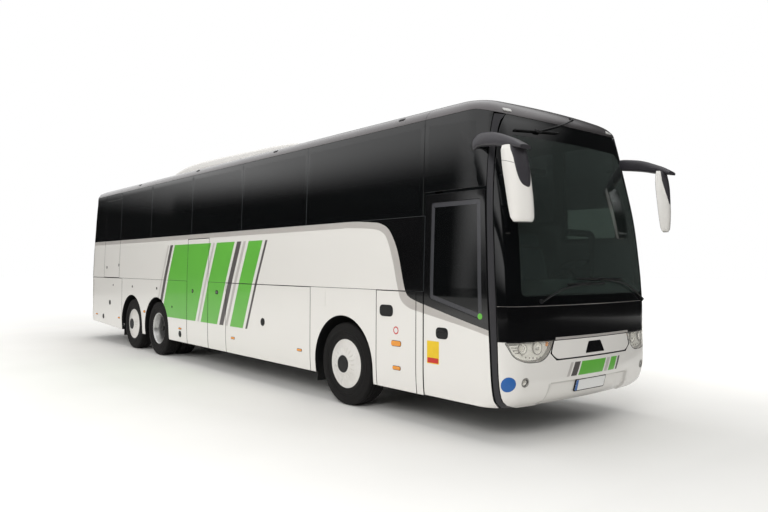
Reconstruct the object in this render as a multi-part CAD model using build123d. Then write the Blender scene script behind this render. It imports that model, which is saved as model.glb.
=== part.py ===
from build123d import *
import math
import os

# Three-axle high-deck coach. Millimetres, +X forward, +Y left, +Z up, ground at Z = 0.
# A station is a distance forward of the front axle; row x = axle_x + station.

# ---- driving dimensions -------------------------------------------------------------------
nose = 2720.0              # front axle to the foremost point of the front face
tail = 10360.0             # front axle to the rearmost point of the rear face
mirror_reach = 2935.0      # front axle to the foremost point of the mirror heads
body_half = 1275.0         # half of the body's width at the waist
wheelbase = 6020.0         # front axle to drive axle
tag_gap = 1345.0           # drive axle to tag axle
tyre_r = 508.0
tyre_w = 295.0
tyre_flats = 44                # flats round a tyre, the lowest one on the ground
flat_grow = 1 / math.cos(math.pi / tyre_flats)
skirt = 335.0              # lower edge of the body at the front
skirt_rear = 440.0         # lower edge at the rear bumper
waist = 1435.0             # seam between the lower panels and the side wall
sill = 2250.0              # lower edge of the glass band
glass_top = 3284.0         # upper edge of the glass band
screen_top = 3215.0        # upper edge of the windscreen
screen_low = 1330.0        # lower edge of the windscreen
mask_low = 995.0           # lower edge of the black mask under the windscreen
wall = 45.0                # thickness of walls and fixed panels
leaf = 35.0                # thickness of flaps and doors
glass_t = 8.0              # bonded glass
seat_gap = 0.3             # gap where one piece seats on another
seam = 8.0                 # gap around a moving leaf
fixed_seam = 4.0           # joint between two fixed panes
axle_x = (tail - mirror_reach) / 2

front_corner_r = 262.0     # plan radius of the front corners
rear_corner_r = 380.0      # plan radius of the rear corners
front_crown_r = 7100.0     # plan radius of the front face
rear_crown_r = 6500.0      # plan radius of the rear face

hinge_r = 7.0              # hinge rods along the flap tops
hinge_lift = 5.0           # from a rod's axis up to the panel that carries it
pin_gap = 0.05             # running clearance of pins and spindles

deck_top = 1410.0
deck_t = 50.0
platform_top = 1000.0      # driver's platform
bay_floor_top = 430.0
bay_sheet = 30.0
arch_r = 595.0             # wheel openings in the side panels
liner_r = 625.0            # arch liners behind them
liner_t = 12.0

front_door_back = 1463.0   # stations of the front door's edges
front_door_low = (2420.0, 345.0)
front_door_high = (2290.0, 2470.0)
middle_door_back = -4610.0
middle_door_front = -3780.0
middle_door_top = 2165.0
exit_door_back = -9150.0   # emergency door
exit_door_front = -8150.0
exit_door_top = 3150.0
exit_door_low = waist + 14.0
rear_seam = -9995.0        # side wall to rear wall

# Body sections: height, half width, nose drawn back, tail drawn in, share of an inset taken downwards
sections = [
    (335.0, 19.0, 170.0, 60.0, 0.0),
    (400.0, 11.0, 85.0, 40.0, 0.0),
    (520.0, 3.0, 30.0, 10.0, 0.0),
    (750.0, 0.0, 5.0, 0.0, 0.0),
    (1000.0, 0.0, 10.0, 0.0, 0.0),
    (1435.0, 0.0, 24.0, 0.0, 0.0),
    (1800.0, 9.0, 56.0, 12.0, 0.0),
    (2260.0, 23.0, 115.0, 45.0, 0.0),
    (2770.0, 39.0, 230.0, 100.0, 0.0),
    (3215.0, 53.0, 340.0, 160.0, 0.0),
    (3284.0, 55.0, 362.0, 172.0, 0.0),
    (3335.0, 76.0, 402.0, 192.0, 0.3),
    (3385.0, 127.0, 470.0, 230.0, 0.6),
    (3430.0, 218.0, 570.0, 290.0, 0.9),
    (3465.0, 350.0, 720.0, 380.0, 1.0),
    (3492.0, 560.0, 940.0, 520.0, 1.0),
]


# ---- helpers ------------------------------------------------------------------------------
def plan_outline(z, half, front, back, inset):
    """Closed plan of the body at one height: two straight sides, crowned front and rear, four corners."""
    half = half - inset
    front = front - inset
    back = back + inset
    r1 = front_corner_r - inset
    r2 = rear_corner_r - inset
    crown1 = front_crown_r - inset
    crown2 = rear_crown_r - inset
    reach1 = math.sqrt((crown1 - r1) ** 2 - (half - r1) ** 2)
    reach2 = math.sqrt((crown2 - r2) ** 2 - (half - r2) ** 2)
    cx1 = front - crown1 + reach1
    cx2 = back + crown2 - reach2
    a1 = math.asin((half - r1) / (crown1 - r1))
    a2 = math.asin((half - r2) / (crown2 - r2))

    def corner(cx, r, turn, way):
        return cx + way * r * math.cos(turn), half - r + r * math.sin(turn)

    f_end = corner(cx1, r1, a1, 1)
    f_mid = corner(cx1, r1, (a1 + math.pi / 2) / 2, 1)
    b_end = corner(cx2, r2, a2, -1)
    b_mid = corner(cx2, r2, (a2 + math.pi / 2) / 2, -1)

    def p(x, y):
        return Vector(axle_x + x, y, z)

    return Wire([
        Edge.make_line(p(cx2, -half), p(cx1, -half)),
        Edge.make_three_point_arc(p(cx1, -half), p(f_mid[0], -f_mid[1]), p(f_end[0], -f_end[1])),
        Edge.make_three_point_arc(p(f_end[0], -f_end[1]), p(front, 0), p(*f_end)),
        Edge.make_three_point_arc(p(*f_end), p(*f_mid), p(cx1, half)),
        Edge.make_line(p(cx1, half), p(cx2, half)),
        Edge.make_three_point_arc(p(cx2, half), p(*b_mid), p(*b_end)),
        Edge.make_three_point_arc(p(*b_end), p(back, 0), p(b_end[0], -b_end[1])),
        Edge.make_three_point_arc(p(b_end[0], -b_end[1]), p(b_mid[0], -b_mid[1]), p(cx2, -half)),
    ])


hulls = {}
skins = {}
far = 3000.0
side_in = 850.0                # the side zones start this far from the centre line


def hull(inset):
    """The body's outer form, drawn in by an inset."""
    if inset not in hulls:
        wires = [plan_outline(z - inset * down, body_half - tuck, nose - front, back - tail, inset)
                 for z, tuck, front, back, down in sections]
        hulls[inset] = Solid.make_loft(wires, ruled=True)
    return hulls[inset]


def skin(outer, inner, zone):
    """The layer of the body between two insets, within one zone of it."""
    key = (outer, inner, zone)
    if key not in skins:
        if zone == "left":
            skins[key] = mirrored(skin(outer, inner, "right"))
        else:
            skins[key] = (hull(outer) & zones[zone]) - (hull(inner) & zones[zone])
    return skins[key]


def block(s0, s1, y0, y1, z0, z1):
    return Pos(axle_x + (s0 + s1) / 2, (y0 + y1) / 2, (z0 + z1) / 2) * Box(s1 - s0, y1 - y0, z1 - z0)


def side_prism(points, y0, y1):
    """Outline in (station, height), run across from y0 to y1."""
    face = Face(Wire.make_polygon([Vector(axle_x + s, y0, z) for s, z in points], close=True))
    return Solid.extrude(face, Vector(0, y1 - y0, 0))


def front_prism(points, s0, s1, margin=0.0):
    """Outline in (y, height), grown by a margin, run along from station s0 to s1."""
    face = Face(Wire.make_polygon([Vector(axle_x + s0, y, z) for y, z in points], close=True))
    if margin:
        face = offset(face, margin, kind=Kind.INTERSECTION).face()
    return Solid.extrude(face, Vector(s1 - s0, 0, 0))


def rod(s, y, z, axis, length, radius):
    """Cylinder from a point along an axis."""
    return Solid.make_cylinder(radius, length, Plane(origin=(axle_x + s, y, z), z_dir=axis))


def turned(points, s, y, side):
    """Solid of revolution about the wheel line. Points are (distance outboard of y, radius)."""
    ring = [Vector(axle_x + s, side * (y + out), tyre_r + r) for out, r in points]
    face = Face(Wire.make_polygon(ring, close=True))
    return Solid.revolve(face, 360, Axis((axle_x + s, 0, tyre_r), (0, 1, 0)))


def flat_ring(points, s, y, side):
    """The same ring made of flats, for tyres. The profile runs anticlockwise."""
    rows = []
    for k in range(tyre_flats):
        turn = 2 * math.pi * (k + 0.5) / tyre_flats
        rows.append([Vector(axle_x + s + r * flat_grow * math.sin(turn), side * (y + out),
                            tyre_r + r * flat_grow * math.cos(turn)) for out, r in points])
    faces = []
    for a, b in zip(rows, rows[1:] + rows[:1]):
        for i in range(len(points)):
            j = (i + 1) % len(points)
            faces.append(Face(Wire.make_polygon([a[i], a[j], b[j], b[i]], close=True)))
    return Solid(Shell(faces))


def mirrored(shape):
    return shape.mirror(Plane.XZ)


def one(shape):
    """The largest solid of a result, for pieces that are a single solid."""
    return max(shape.solids(), key=lambda s: s.volume)


def several(shapes):
    return Compound(children=[s for shape in shapes for s in shape.solids()])


parts = {}

# ---- regions ------------------------------------------------------------------------------
zones = {
    "right": block(-tail - 300, far, -far, -side_in, 0.0, 3400.0),
    "front": block(1900.0, far, -far, far, 0.0, 3600.0),
    "rear": block(-tail - 300, rear_seam + 300, -far, far, 0.0, 3600.0),
    "top": block(-tail - 300, far, -far, far, 3150.0, 3600.0),
}
belly = side_prism([(-tail - 200, 0), (far, 0), (far, skirt), (-tail * 0.83, skirt + 15),
                    (-tail - 200, skirt_rear + 12)], -far, far)
roof_line = [(-tail - 200, glass_top), (2150.0, glass_top), (2420.0, screen_top), (far, screen_top)]
above_roof_line = side_prism(roof_line + [(far, 4200.0), (-tail - 200, 4200.0)], -far, far)
screen_seam = [(2490.0, 300.0), (2455.0, 1390.0), (2320.0, 3140.0), (2300.0, 3500.0)]
front_region = side_prism(screen_seam + [(far, 3500.0), (far, 300.0)], -far, far)
post_back = [(2440.0, 300.0), (2308.0, 2480.0), (2262.0, 3500.0)]
post_region = side_prism(post_back + screen_seam[::-1], -far, far)

above_belly = {zone: skin(0.0, wall, zone) - belly for zone in ("right", "front", "rear")}
above_belly["left"] = mirrored(above_belly["right"])
leaf_right = skin(0.0, leaf, "right") - belly
inside = hull(wall + seat_gap)
bond = glass_t + seat_gap      # depth of the rebate that a bonded pane lies in

# ---- side walls ---------------------------------------------------------------------------
pane_seams = [-6390.0, -4500.0, -2670.0, -860.0, 1420.0]
post_half = 55.0
window_low = sill + 50
window_high = glass_top - 75
wall_front = 2440.0

flaps_right = [                  # name, back station, front station, opens to (degrees)
    ("luggage_flap_right", -3125.0, -715.0, 100),
    ("service_flap_right", 660.0, 1340.0, 100),
    ("engine_flap_right", -9960.0, -7960.0, 80),
]
flaps_left = [
    ("luggage_flap_left_front", -3125.0, -715.0, 100),
    ("luggage_flap_left_rear", -5380.0, -3125.0, 100),
    ("engine_flap_left", -9960.0, -7960.0, 80),
]


def leaning_half(z):
    """Half width of the body's side at a height."""
    for (z0, t0, *_), (z1, t1, *_) in zip(sections, sections[1:]):
        if z0 <= z <= z1:
            return body_half - t0 - (t1 - t0) * (z - z0) / (z1 - z0)


low = above_belly["right"] & block(rear_seam, wall_front, -far, -side_in, waist + hinge_lift, sill)
high = skin(bond, wall, "right") & block(rear_seam, wall_front, -far, -side_in, sill, glass_top + 50)
plain_right = low.fuse(high - above_roof_line) - post_region - front_region


def side_wall(side, flaps, openings, spans):
    y0, y1 = (-far, -side_in) if side < 0 else (side_in, far)
    shape = plain_right if side < 0 else mirrored(plain_right)
    for cut in openings:
        shape = shape - cut
    for s0, s1, z0, z1 in spans:
        shape = shape - block(s0, s1, y0, y1, z0, z1)
    for name, s0, s1, opens in flaps:
        bar = rod(s0 + 60, side * body_half, waist, (1, 0, 0), s1 - s0 - 120, hinge_r)
        shape = shape.fuse(bar)
    return shape


def wall_panels(shape, cuts, last_level=sill):
    """The wall as its panels: each bay apart from the next, and the window frames apart from the skirt."""
    pieces = []
    edges = [rear_seam - seam] + cuts + [wall_front + seam]
    for a, b in zip(edges, edges[1:]):
        level = last_level if b == edges[-1] else sill
        for z0, z1 in ((waist - leaf, level), (level + seat_gap, glass_top + wall)):
            pieces += (shape & block(a, b - seat_gap, -far, far, z0, z1)).solids()
    return Compound(children=[p for p in pieces if p.volume > 1e5])


def window_spans(edges):
    return [(a + post_half, b - post_half, window_low, window_high) for a, b in zip(edges, edges[1:])]


front_door_hole = side_prism([(front_door_back - seam, 300.0), (front_door_low[0] + 3 * seam, 300.0),
                              (front_door_high[0] + seam, front_door_high[1] + seam),
                              (front_door_back - seam, front_door_high[1] + seam)], -far, -side_in)
middle_door_hole = block(middle_door_back - seam, middle_door_front + seam, -far, -side_in,
                         300.0, middle_door_top + seam)
exit_door_hole = block(exit_door_back - seam, exit_door_front + seam, -far, -side_in,
                       waist, exit_door_top + seam)
exit_hinge_low = (exit_door_front + seam / 2, -leaning_half(exit_door_low + 60), exit_door_low + 60)
exit_hinge_high = (exit_door_front + seam / 2, -leaning_half(exit_door_top - 60), exit_door_top - 60)


def line_rod(a, b, radius):
    """Cylinder from a to b, each a (station, y, height)."""
    pa = Vector(axle_x + a[0], a[1], a[2])
    pb = Vector(axle_x + b[0], b[1], b[2])
    return Solid.make_cylinder(radius, (pb - pa).length, Plane(origin=pa, z_dir=(pb - pa)))


driver_sill = 2000.0            # lower edge of the driver's side pane
right_spans = window_spans([-8095.0] + pane_seams) + window_spans([-9955.0, -9205.0])
right_spans.append((1500.0, 2180.0, front_door_high[1] + 90, window_high))
left_spans = window_spans([-9955.0, -8150.0] + pane_seams)
left_spans.append((1500.0, 2180.0, driver_sill + 60, window_high))
right = side_wall(-1, flaps_right, [front_door_hole, middle_door_hole, exit_door_hole], right_spans)
right = right.fuse(line_rod(exit_hinge_low, exit_hinge_high, hinge_r))
right_cuts = [exit_door_back - seam, exit_door_front + seam, -6390.0, middle_door_back - seam,
              middle_door_front + seam, -860.0, front_door_back - seam]
parts["side_wall_right"] = wall_panels(right, right_cuts, front_door_high[1] + seam)
rebate = skin(0.0, bond, "left") & block(pane_seams[-1], far, side_in, far, driver_sill, sill + 1)
left_cuts = [-8150.0, -6390.0, -4500.0, -2670.0, -860.0, pane_seams[-1]]
parts["side_wall_left"] = wall_panels(side_wall(1, flaps_left, [rebate], left_spans), left_cuts)


# ---- bonded glass -------------------------------------------------------------------------
side_glass = skin(0.0, glass_t, "right") - above_roof_line - post_region - front_region


def panes(side, edges, low=sill):
    y0, y1 = (-far, -side_in) if side < 0 else (side_in, far)
    source = side_glass if side < 0 else mirrored(side_glass)
    return [one(source & block(a + fixed_seam / 2, b - fixed_seam / 2, y0, y1, low, 4000.0))
            for a, b in zip(edges, edges[1:])]


glass = panes(-1, [rear_seam, exit_door_back - seam])
glass += panes(-1, [exit_door_front + seam + hinge_r] + pane_seams)
glass += panes(-1, [pane_seams[-1], wall_front], front_door_high[1] + seam + 20)
glass += panes(1, [rear_seam, -8150.0] + pane_seams)
glass += panes(1, [pane_seams[-1], wall_front], driver_sill + seat_gap)

# ---- rear -------------------------------------------------------------------------------
rear_region = block(-tail - 300, rear_seam - fixed_seam, -far, far, 0, 4200.0)
lid_half = 930.0
lid_low = 770.0
lid_high = 1930.0
bumper_top = lid_low - seam
rear_window_half = 930.0
rear_window_low = 2330.0
rear_window_high = 3150.0
tail_lamp = [(1010.0, 800.0), (1150.0, 800.0), (1150.0, 1420.0), (1010.0, 1420.0)]

rear_skin = above_belly["rear"] & rear_region
lid_hole = block(-tail - 300, rear_seam, -lid_half - seam, lid_half + seam, bumper_top, lid_high + hinge_lift)
lamp_holes = [front_prism([(side * y, z) for y, z in tail_lamp], -tail - 300, rear_seam, 2.0) for side in (-1, 1)]
rear_low = rear_skin & block(-tail - 300, rear_seam, -far, far, bumper_top + fixed_seam, sill)
rear_high = skin(bond, wall, "rear") & rear_region & block(-tail - 300, rear_seam, -far, far, sill, 3700.0)
rear_high = rear_high - above_roof_line
rear = rear_low.fuse(rear_high) - lid_hole
rear = rear - block(-tail - 300, rear_seam, -rear_window_half, rear_window_half, rear_window_low, rear_window_high)
for hole in lamp_holes:
    rear = rear - hole
lid_hinge = (-tail + 18.0, -220.0, lid_high)
rear = rear.fuse(rod(*lid_hinge, (0, 1, 0), 440.0, hinge_r))
parts["rear_wall"] = one(rear)
rear_pane = skin(0.0, glass_t, "rear") & rear_region & block(-tail - 300, rear_seam, -far, far, sill, 3700.0)
glass.append(one(rear_pane - above_roof_line))
parts["body_glass"] = several(glass)
parts["rear_bumper"] = one(rear_skin & block(-tail - 300, rear_seam, -far, far, 300.0, bumper_top))

lid = skin(0.0, leaf, "rear") & block(-tail - 300, rear_seam, -lid_half, lid_half, lid_low, lid_high)
lid = lid - rod(*lid_hinge, (0, 1, 0), 440.0, hinge_r + seat_gap)
louvres = 5
louvre_half = 560.0
for k in range(louvres):
    z = 880.0 + k * 62.0
    lid = lid - block(-tail - 300, rear_seam, -louvre_half, louvre_half, z, z + 26.0)
parts["engine_lid"] = one(lid)

# ---- front ------------------------------------------------------------------------------
screen_half = 1060.0
opening_low = 1430.0
opening_high = 3110.0
flap_outline = [(-655.0, 984.0), (-700.0, 860.0), (-620.0, 800.0), (620.0, 800.0), (700.0, 860.0), (655.0, 984.0)]
front_flap_axis = mask_low - hinge_lift
head_lamp = [(688.0, 985.0), (735.0, 850.0), (830.0, 800.0), (1000.0, 812.0), (1150.0, 890.0), (1235.0, 985.0)]
flap_t = 20.0
flap_gap = 10.0
recess = [(-690.0, 575.0), (-740.0, 300.0), (740.0, 300.0), (690.0, 575.0)]
recess_t = 12.0                # depth of the number plate's recess
fog_lamp_y = 1040.0
fog_lamp_z = 604.0
fog_lamp_r = 43.0


screen = skin(0.0, glass_t, "front") & front_region & block(1900.0, far, -far, far, screen_low, 3600.0)
parts["windscreen"] = one(screen - above_roof_line)
behind = skin(bond, wall, "front") & front_region & block(1900.0, far, -far, far, screen_low - 30, 3600.0)
behind = behind - above_roof_line
mask = above_belly["front"] & front_region & block(1900.0, far, -far, far, mask_low, screen_low - 2)
posts = (above_belly["front"] & post_region) - above_roof_line
frame = behind.fuse(mask, posts)
frame = frame - front_prism([(-screen_half, opening_low), (screen_half, opening_low),
                             (screen_half - 60, opening_high), (-screen_half + 60, opening_high)], 1900.0, far)
front_hinge = (nose - 12.0, -220.0, front_flap_axis)
frame = frame.fuse(rod(*front_hinge, (0, 1, 0), 440.0, hinge_r))
parts["front_frame"] = one(frame)

flap_prism = front_prism(flap_outline, 2000.0, far)
front_flap = skin(0.0, flap_t, "front") & flap_prism & block(2000.0, far, -far, far, 0, front_flap_axis)
front_flap = front_flap - rod(*front_hinge, (0, 1, 0), 440.0, hinge_r + seat_gap)
parts["front_flap"] = one(front_flap)

bumper = above_belly["front"] & front_region & block(1900.0, far, -far, far, 300.0, mask_low - fixed_seam)
bumper = bumper - front_prism(flap_outline, 2000.0, far, flap_gap)
bumper = bumper - (skin(0.0, recess_t, "front") & front_prism(recess, 2000.0, far))
lamps = []
lamp_gap = 2.0
for side in (-1, 1):
    outline = [(side * y, z) for y, z in head_lamp]
    bumper = bumper - front_prism(outline, 2000.0, far, lamp_gap)
    lamp = skin(3.0, wall, "front") & front_prism(outline, 2000.0, far) & front_region
    lamps.append(one(lamp))
    fog = (2300.0, side * fog_lamp_y, fog_lamp_z, (1, 0, 0), 500.0)
    bumper = bumper - rod(*fog, fog_lamp_r + seat_gap)
    lamps.append(one(skin(6.0, wall, "front") & rod(*fog, fog_lamp_r)))
    outline = [(side * y, z) for y, z in tail_lamp]
    lamps.append(one(skin(4.0, wall, "rear") & front_prism(outline, -tail - 300, rear_seam)))
parts["front_bumper"] = one(bumper)
parts["lamps"] = several(lamps)

# ---- roof -------------------------------------------------------------------------------
cap_seam = 1430.0
hatch_stations = [-8300.0, -400.0]
pod_back = -6300.0
pod_front = -1650.0
pod_half = 860.0
pod_line = [(pod_back, 3420.0), (pod_back, 3500.0), (-5600.0, 3615.0), (-4800.0, 3625.0), (-2500.0, 3575.0),
            (pod_front, 3520.0), (pod_front, 3420.0)]
roof_skin = skin(0.0, wall, "top") & side_prism([(-tail - 200, glass_top + seat_gap), (2150.0, glass_top + seat_gap),
                                          (2420.0, screen_top + seat_gap), (far, screen_top + seat_gap),
                                          (far, 4200.0), (-tail - 200, 4200.0)], -far, far)
hatch_top = 3530.0
roof = one(roof_skin & block(-tail - 300, cap_seam, -far, far, 3000.0, 4000.0))
for s in hatch_stations:
    roof = roof + block(s - 380, s + 380, -300.0, 300.0, sections[-1][0] - 20, hatch_top)
roof_rear = roof & block(-tail - 300, rear_seam - seat_gap, -far, far, 3000.0, 4000.0)
roof = roof & block(rear_seam, cap_seam, -far, far, 3000.0, 4000.0)
parts["roof"] = several([one(roof), one(roof_rear)])
parts["roof_front_cap"] = one(roof_skin & block(cap_seam + seat_gap, far, -far, far, 3000.0, 4000.0))
pod = side_prism(pod_line, -pod_half, pod_half) - hull(-seat_gap)
parts["roof_pod"] = one(pod)

# ---- lower panels and flaps ---------------------------------------------------------------
wheel_stations = {"front": 0.0, "drive": -wheelbase, "tag": -wheelbase - tag_gap}
fixed_right = [(-715.0, 660.0), (1340.0, 1450.0), (middle_door_front + seam, -3125.0),
               (-7960.0, middle_door_back - seam), (rear_seam, -9960.0)]
fixed_left = [(-715.0, 660.0), (660.0, 2440.0), (-7960.0, -5380.0), (rear_seam, -9960.0)]
panels = []
low_right = above_belly["right"] - post_region - front_region
for side, table in ((-1, fixed_right), (1, fixed_left)):
    y0, y1 = (-far, -side_in) if side < 0 else (side_in, far)
    skin_low = low_right if side < 0 else mirrored(low_right)
    for s0, s1 in table:
        panel = skin_low & block(s0 + fixed_seam, s1 - fixed_seam, y0, y1, 300.0, waist + hinge_lift - seat_gap)
        for s in wheel_stations.values():
            panel = panel - rod(s, y0, tyre_r, (0, 1, 0), y1 - y0, arch_r)
            panel = panel - block(s - arch_r + 8, s + arch_r - 8, y0, y1, 0, tyre_r - 60)
        panels.append(one(panel))
parts["lower_panels"] = several(panels)

grille_slots = 9               # radiator grille behind the left rear flap
grille_low = 760.0
grille_pitch = 64.0
grille_gap = 34.0
grille_back = -9800.0
grille_wide = 1250.0
for side, table in ((-1, flaps_right), (1, flaps_left)):
    y0, y1 = (-far, -side_in) if side < 0 else (side_in, far)
    leaf_low = leaf_right if side < 0 else mirrored(leaf_right)
    for name, s0, s1, opens in table:
        flap = leaf_low & block(s0 + seam / 2, s1 - seam / 2, y0, y1, 300.0, waist)
        flap = flap - rod(s0 + 60, side * body_half, waist, (1, 0, 0), s1 - s0 - 120, hinge_r + seat_gap)
        if name == "engine_flap_left":
            for k in range(grille_slots):
                z = grille_low + k * grille_pitch
                flap = flap - block(grille_back, grille_back + grille_wide, y0, y1, z, z + grille_gap)
        parts[name] = one(flap)

# ---- doors --------------------------------------------------------------------------------
front_door_line = [(front_door_back, 345.0), (front_door_low[0], 345.0), front_door_high,
                   (front_door_back, front_door_high[1])]
front_pane_line = [(1550.0, 1370.0), (2290.0, 1190.0), (2240.0, 2380.0), (1550.0, 2380.0)]
pane_inset = 6.0
front_door = leaf_right & side_prism(front_door_line, -far, -side_in)
front_door = front_door - side_prism(front_pane_line, -far, -side_in)
parts["front_door"] = one(front_door)
parts["front_door_glass"] = one(skin(pane_inset, pane_inset + glass_t, "right") & side_prism(front_pane_line, -far, -side_in))
parts["middle_door"] = one(leaf_right & block(middle_door_back, middle_door_front, -far, -side_in, 345.0,
                                              middle_door_top))
exit_door = skin(bond, leaf, "right") & block(exit_door_back, exit_door_front, -far, -side_in, sill, exit_door_top)
exit_low = leaf_right & block(exit_door_back, exit_door_front, -far, -side_in, exit_door_low, sill)
exit_door = exit_door.fuse(exit_low)
exit_door = exit_door - block(exit_door_back + 90, exit_door_front - 90, -far, -side_in, window_low, 3060.0)
exit_bar = line_rod(exit_hinge_low, exit_hinge_high, hinge_r + seat_gap)
parts["emergency_door"] = one(exit_door - exit_bar)
exit_pane = skin(0.0, glass_t, "right") & block(exit_door_back, exit_door_front, -far, -side_in, sill, exit_door_top)
parts["emergency_door_glass"] = one(exit_pane - exit_bar)


# ---- deck, steps and bays -------------------------------------------------------------------
deck_front = 1300.0
platform_t = 50.0
stairs_inner = -330.0          # inner side of the front stairwell
well_inner = -450.0            # inner side of the middle stairwell
well_wall = 25.0
step_t = 40.0
stair_back = front_door_back - 40.0
stair_front = 2400.0

door_room = 25.0               # the steps stop this far inside the wall's inner face
stair_zone = block(deck_front + 5, far, -far, -side_in, 300.0, platform_top + 5)

step_low = 380.0               # under side of the lowest step
step_tops = [step_low + step_t, 690.0, platform_top]
step_edges = [far, 850.0, 590.0]        # each step's outer edge, from the centre plane
inner_step_top = 1205.0        # half step between the platform and the deck
inner_step_run = 280.0

floor = block(-tail + 60, deck_front, -far, far, deck_top - deck_t, deck_top)
floor = floor - block(middle_door_back, middle_door_front, -far, well_inner, 1300.0, 1500.0)
bulkhead = deck_front - deck_t
under_floor = deck_top - deck_t - seat_gap
ahead = deck_front + seat_gap
floors = [
    floor,
    block(bulkhead, deck_front, stairs_inner, far, platform_top - platform_t, under_floor),
    block(bulkhead, deck_front, -far, stairs_inner - seat_gap, step_low, under_floor),
    block(ahead, far, stairs_inner + seat_gap, far, platform_top - platform_t, platform_top),
    block(ahead, stair_front, stairs_inner + seat_gap, stairs_inner + well_wall, step_low,
          platform_top - platform_t - seat_gap),
    block(ahead, deck_front + inner_step_run, stairs_inner, 300.0, platform_top + seat_gap, inner_step_top),
]
foot = step_low
for step_top, edge in zip(step_tops, step_edges):
    floors.append(block(ahead, stair_front, -edge, stairs_inner, foot, step_top))
    foot = step_top + seat_gap
clear_of_door = stair_zone - hull(wall + door_room)
parts["deck"] = several([one((piece & inside) - clear_of_door) for piece in floors])

bay_back = -5372.0
bay_front = -725.0
bay_top = deck_top - deck_t - seat_gap
bays = block(bay_back, bay_front, -far, far, bay_floor_top - bay_sheet, bay_floor_top)
for s in (bay_back, -3125.0 - bay_sheet / 2, bay_front - bay_sheet):
    bays = bays + block(s, s + bay_sheet, -far, far, bay_floor_top - 1, bay_top)
for s in (middle_door_back - seam - well_wall, middle_door_front + seam):
    bays = bays + block(s, s + well_wall, -far, well_inner + well_wall, bay_floor_top - 1, bay_top)
bays = bays + block(middle_door_back - seam - 1, middle_door_front + seam + 1, well_inner, well_inner + well_wall,
                    bay_floor_top - 1, bay_top)
for z, y in ((700.0, -880.0), (930.0, -740.0), (1160.0, -600.0)):
    bays = bays + block(middle_door_back - seam - 1, middle_door_front + seam + 1, y, well_inner + 1,
                        z - 231.0, z)
bays = bays & inside
parts["luggage_bays"] = one(bays)

# ---- underframe ----------------------------------------------------------------------------
rail_in = 405.0
rail_out = 495.0
rail_low = 860.0
rail_high = 1000.0
front_rails = block(bay_front + seat_gap, 2480.0, rail_in, rail_out, rail_low, rail_high)
front_rails = front_rails + mirrored(front_rails)
for s, z0, z1 in ((bay_front + seat_gap, rail_low, deck_top - deck_t - seat_gap), (700.0, rail_low, rail_high - 60)):
    front_rails = front_rails + block(s, s + 80, -rail_out, rail_out, z0, z1)
front_rails = front_rails - block(deck_front - deck_t - seat_gap, stair_front + seat_gap, -far,
                                  stairs_inner + well_wall + seat_gap, 300.0, 1500.0)
front_rails = front_rails - block(deck_front - deck_t - seat_gap, far, -far, far,
                                  platform_top - platform_t - seat_gap, 1500.0)
nose_beam = block(2440.0, far, -900.0, 900.0, 600.0, 700.0) & inside
nose_post = block(2440.0, 2500.0, rail_in, rail_out, 600.0, rail_high - 60)
nose_post = nose_post + block(2440.0, 2500.0, -rail_in, rail_in, 700.0 - 1, 760.0)
front_rails = front_rails + nose_beam + nose_post
rear_rails = block(-tail + 120, bay_back - seat_gap, rail_in, rail_out, rail_low, rail_high)
rear_rails = rear_rails + mirrored(rear_rails)
for s in (bay_back - seat_gap - 80, -6700.0, -8240.0, -tail + 120):
    rear_rails = rear_rails + block(s, s + 80, -rail_out, rail_out, rail_high - 60, rail_high)
    rear_rails = rear_rails + block(s, s + 80, rail_in, rail_out, rail_high - 1, deck_top - deck_t - seat_gap)
    rear_rails = rear_rails + block(s, s + 80, -rail_out, -rail_in, rail_high - 1, deck_top - deck_t - seat_gap)
tail_beam = block(-tail, -tail + 260, -850.0, 850.0, 620.0, 700.0)
tail_beam = tail_beam + block(-tail + 120, -tail + 200, rail_in, rail_out, 620.0, rail_high)
tail_beam = tail_beam + block(-tail + 120, -tail + 200, -rail_out, -rail_in, 620.0, rail_high)
rear_rails = (rear_rails + tail_beam) & inside
parts["underframe"] = several([one(front_rails), one(rear_rails)])

# ---- wheel arch liners ----------------------------------------------------------------------
liner_in = {"front": 530.0, "drive": 600.0, "tag": 600.0}
liners = []
for name, s in wheel_stations.items():
    tube = rod(s, liner_in[name], tyre_r, (0, 1, 0), 1000.0, liner_r + liner_t)
    tube = tube - rod(s, liner_in[name] - 1, tyre_r, (0, 1, 0), 1002.0, liner_r)
    tube = one(tube & block(s - 700, s + 700, liner_in[name], far, tyre_r - 40, far)) & inside
    liners += [one(tube), mirrored(one(tube))]
parts["arch_liners"] = several(liners)

# ---- mud flaps, hung behind the front and tag wheels -----------------------------------------
mud_flaps = []
for name in ("front", "tag"):
    s = wheel_stations[name] - liner_r - liner_t - seat_gap
    for side in (-1, 1):
        mud_flaps.append(block(s - 8.0, s, side * 1080.0 - 120, side * 1080.0 + 120, 215.0, 560.0))
parts["mud_flaps"] = several(mud_flaps)

# ---- axles, knuckles, steering ---------------------------------------------------------------
track_half = 1087.0            # middle of a single tyre from the centre line
twin_gap = 330.0
twin_outer = 1097.0
kingpin_y = 930.0
kingpin_r = 22.0
eye_r = 52.0
eye_half = 62.0
stub_r = 40.0
stub_end = 1150.0
fork_t = 34.0
steer_limit = 42.0
axle_half_w = 55.0

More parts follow.
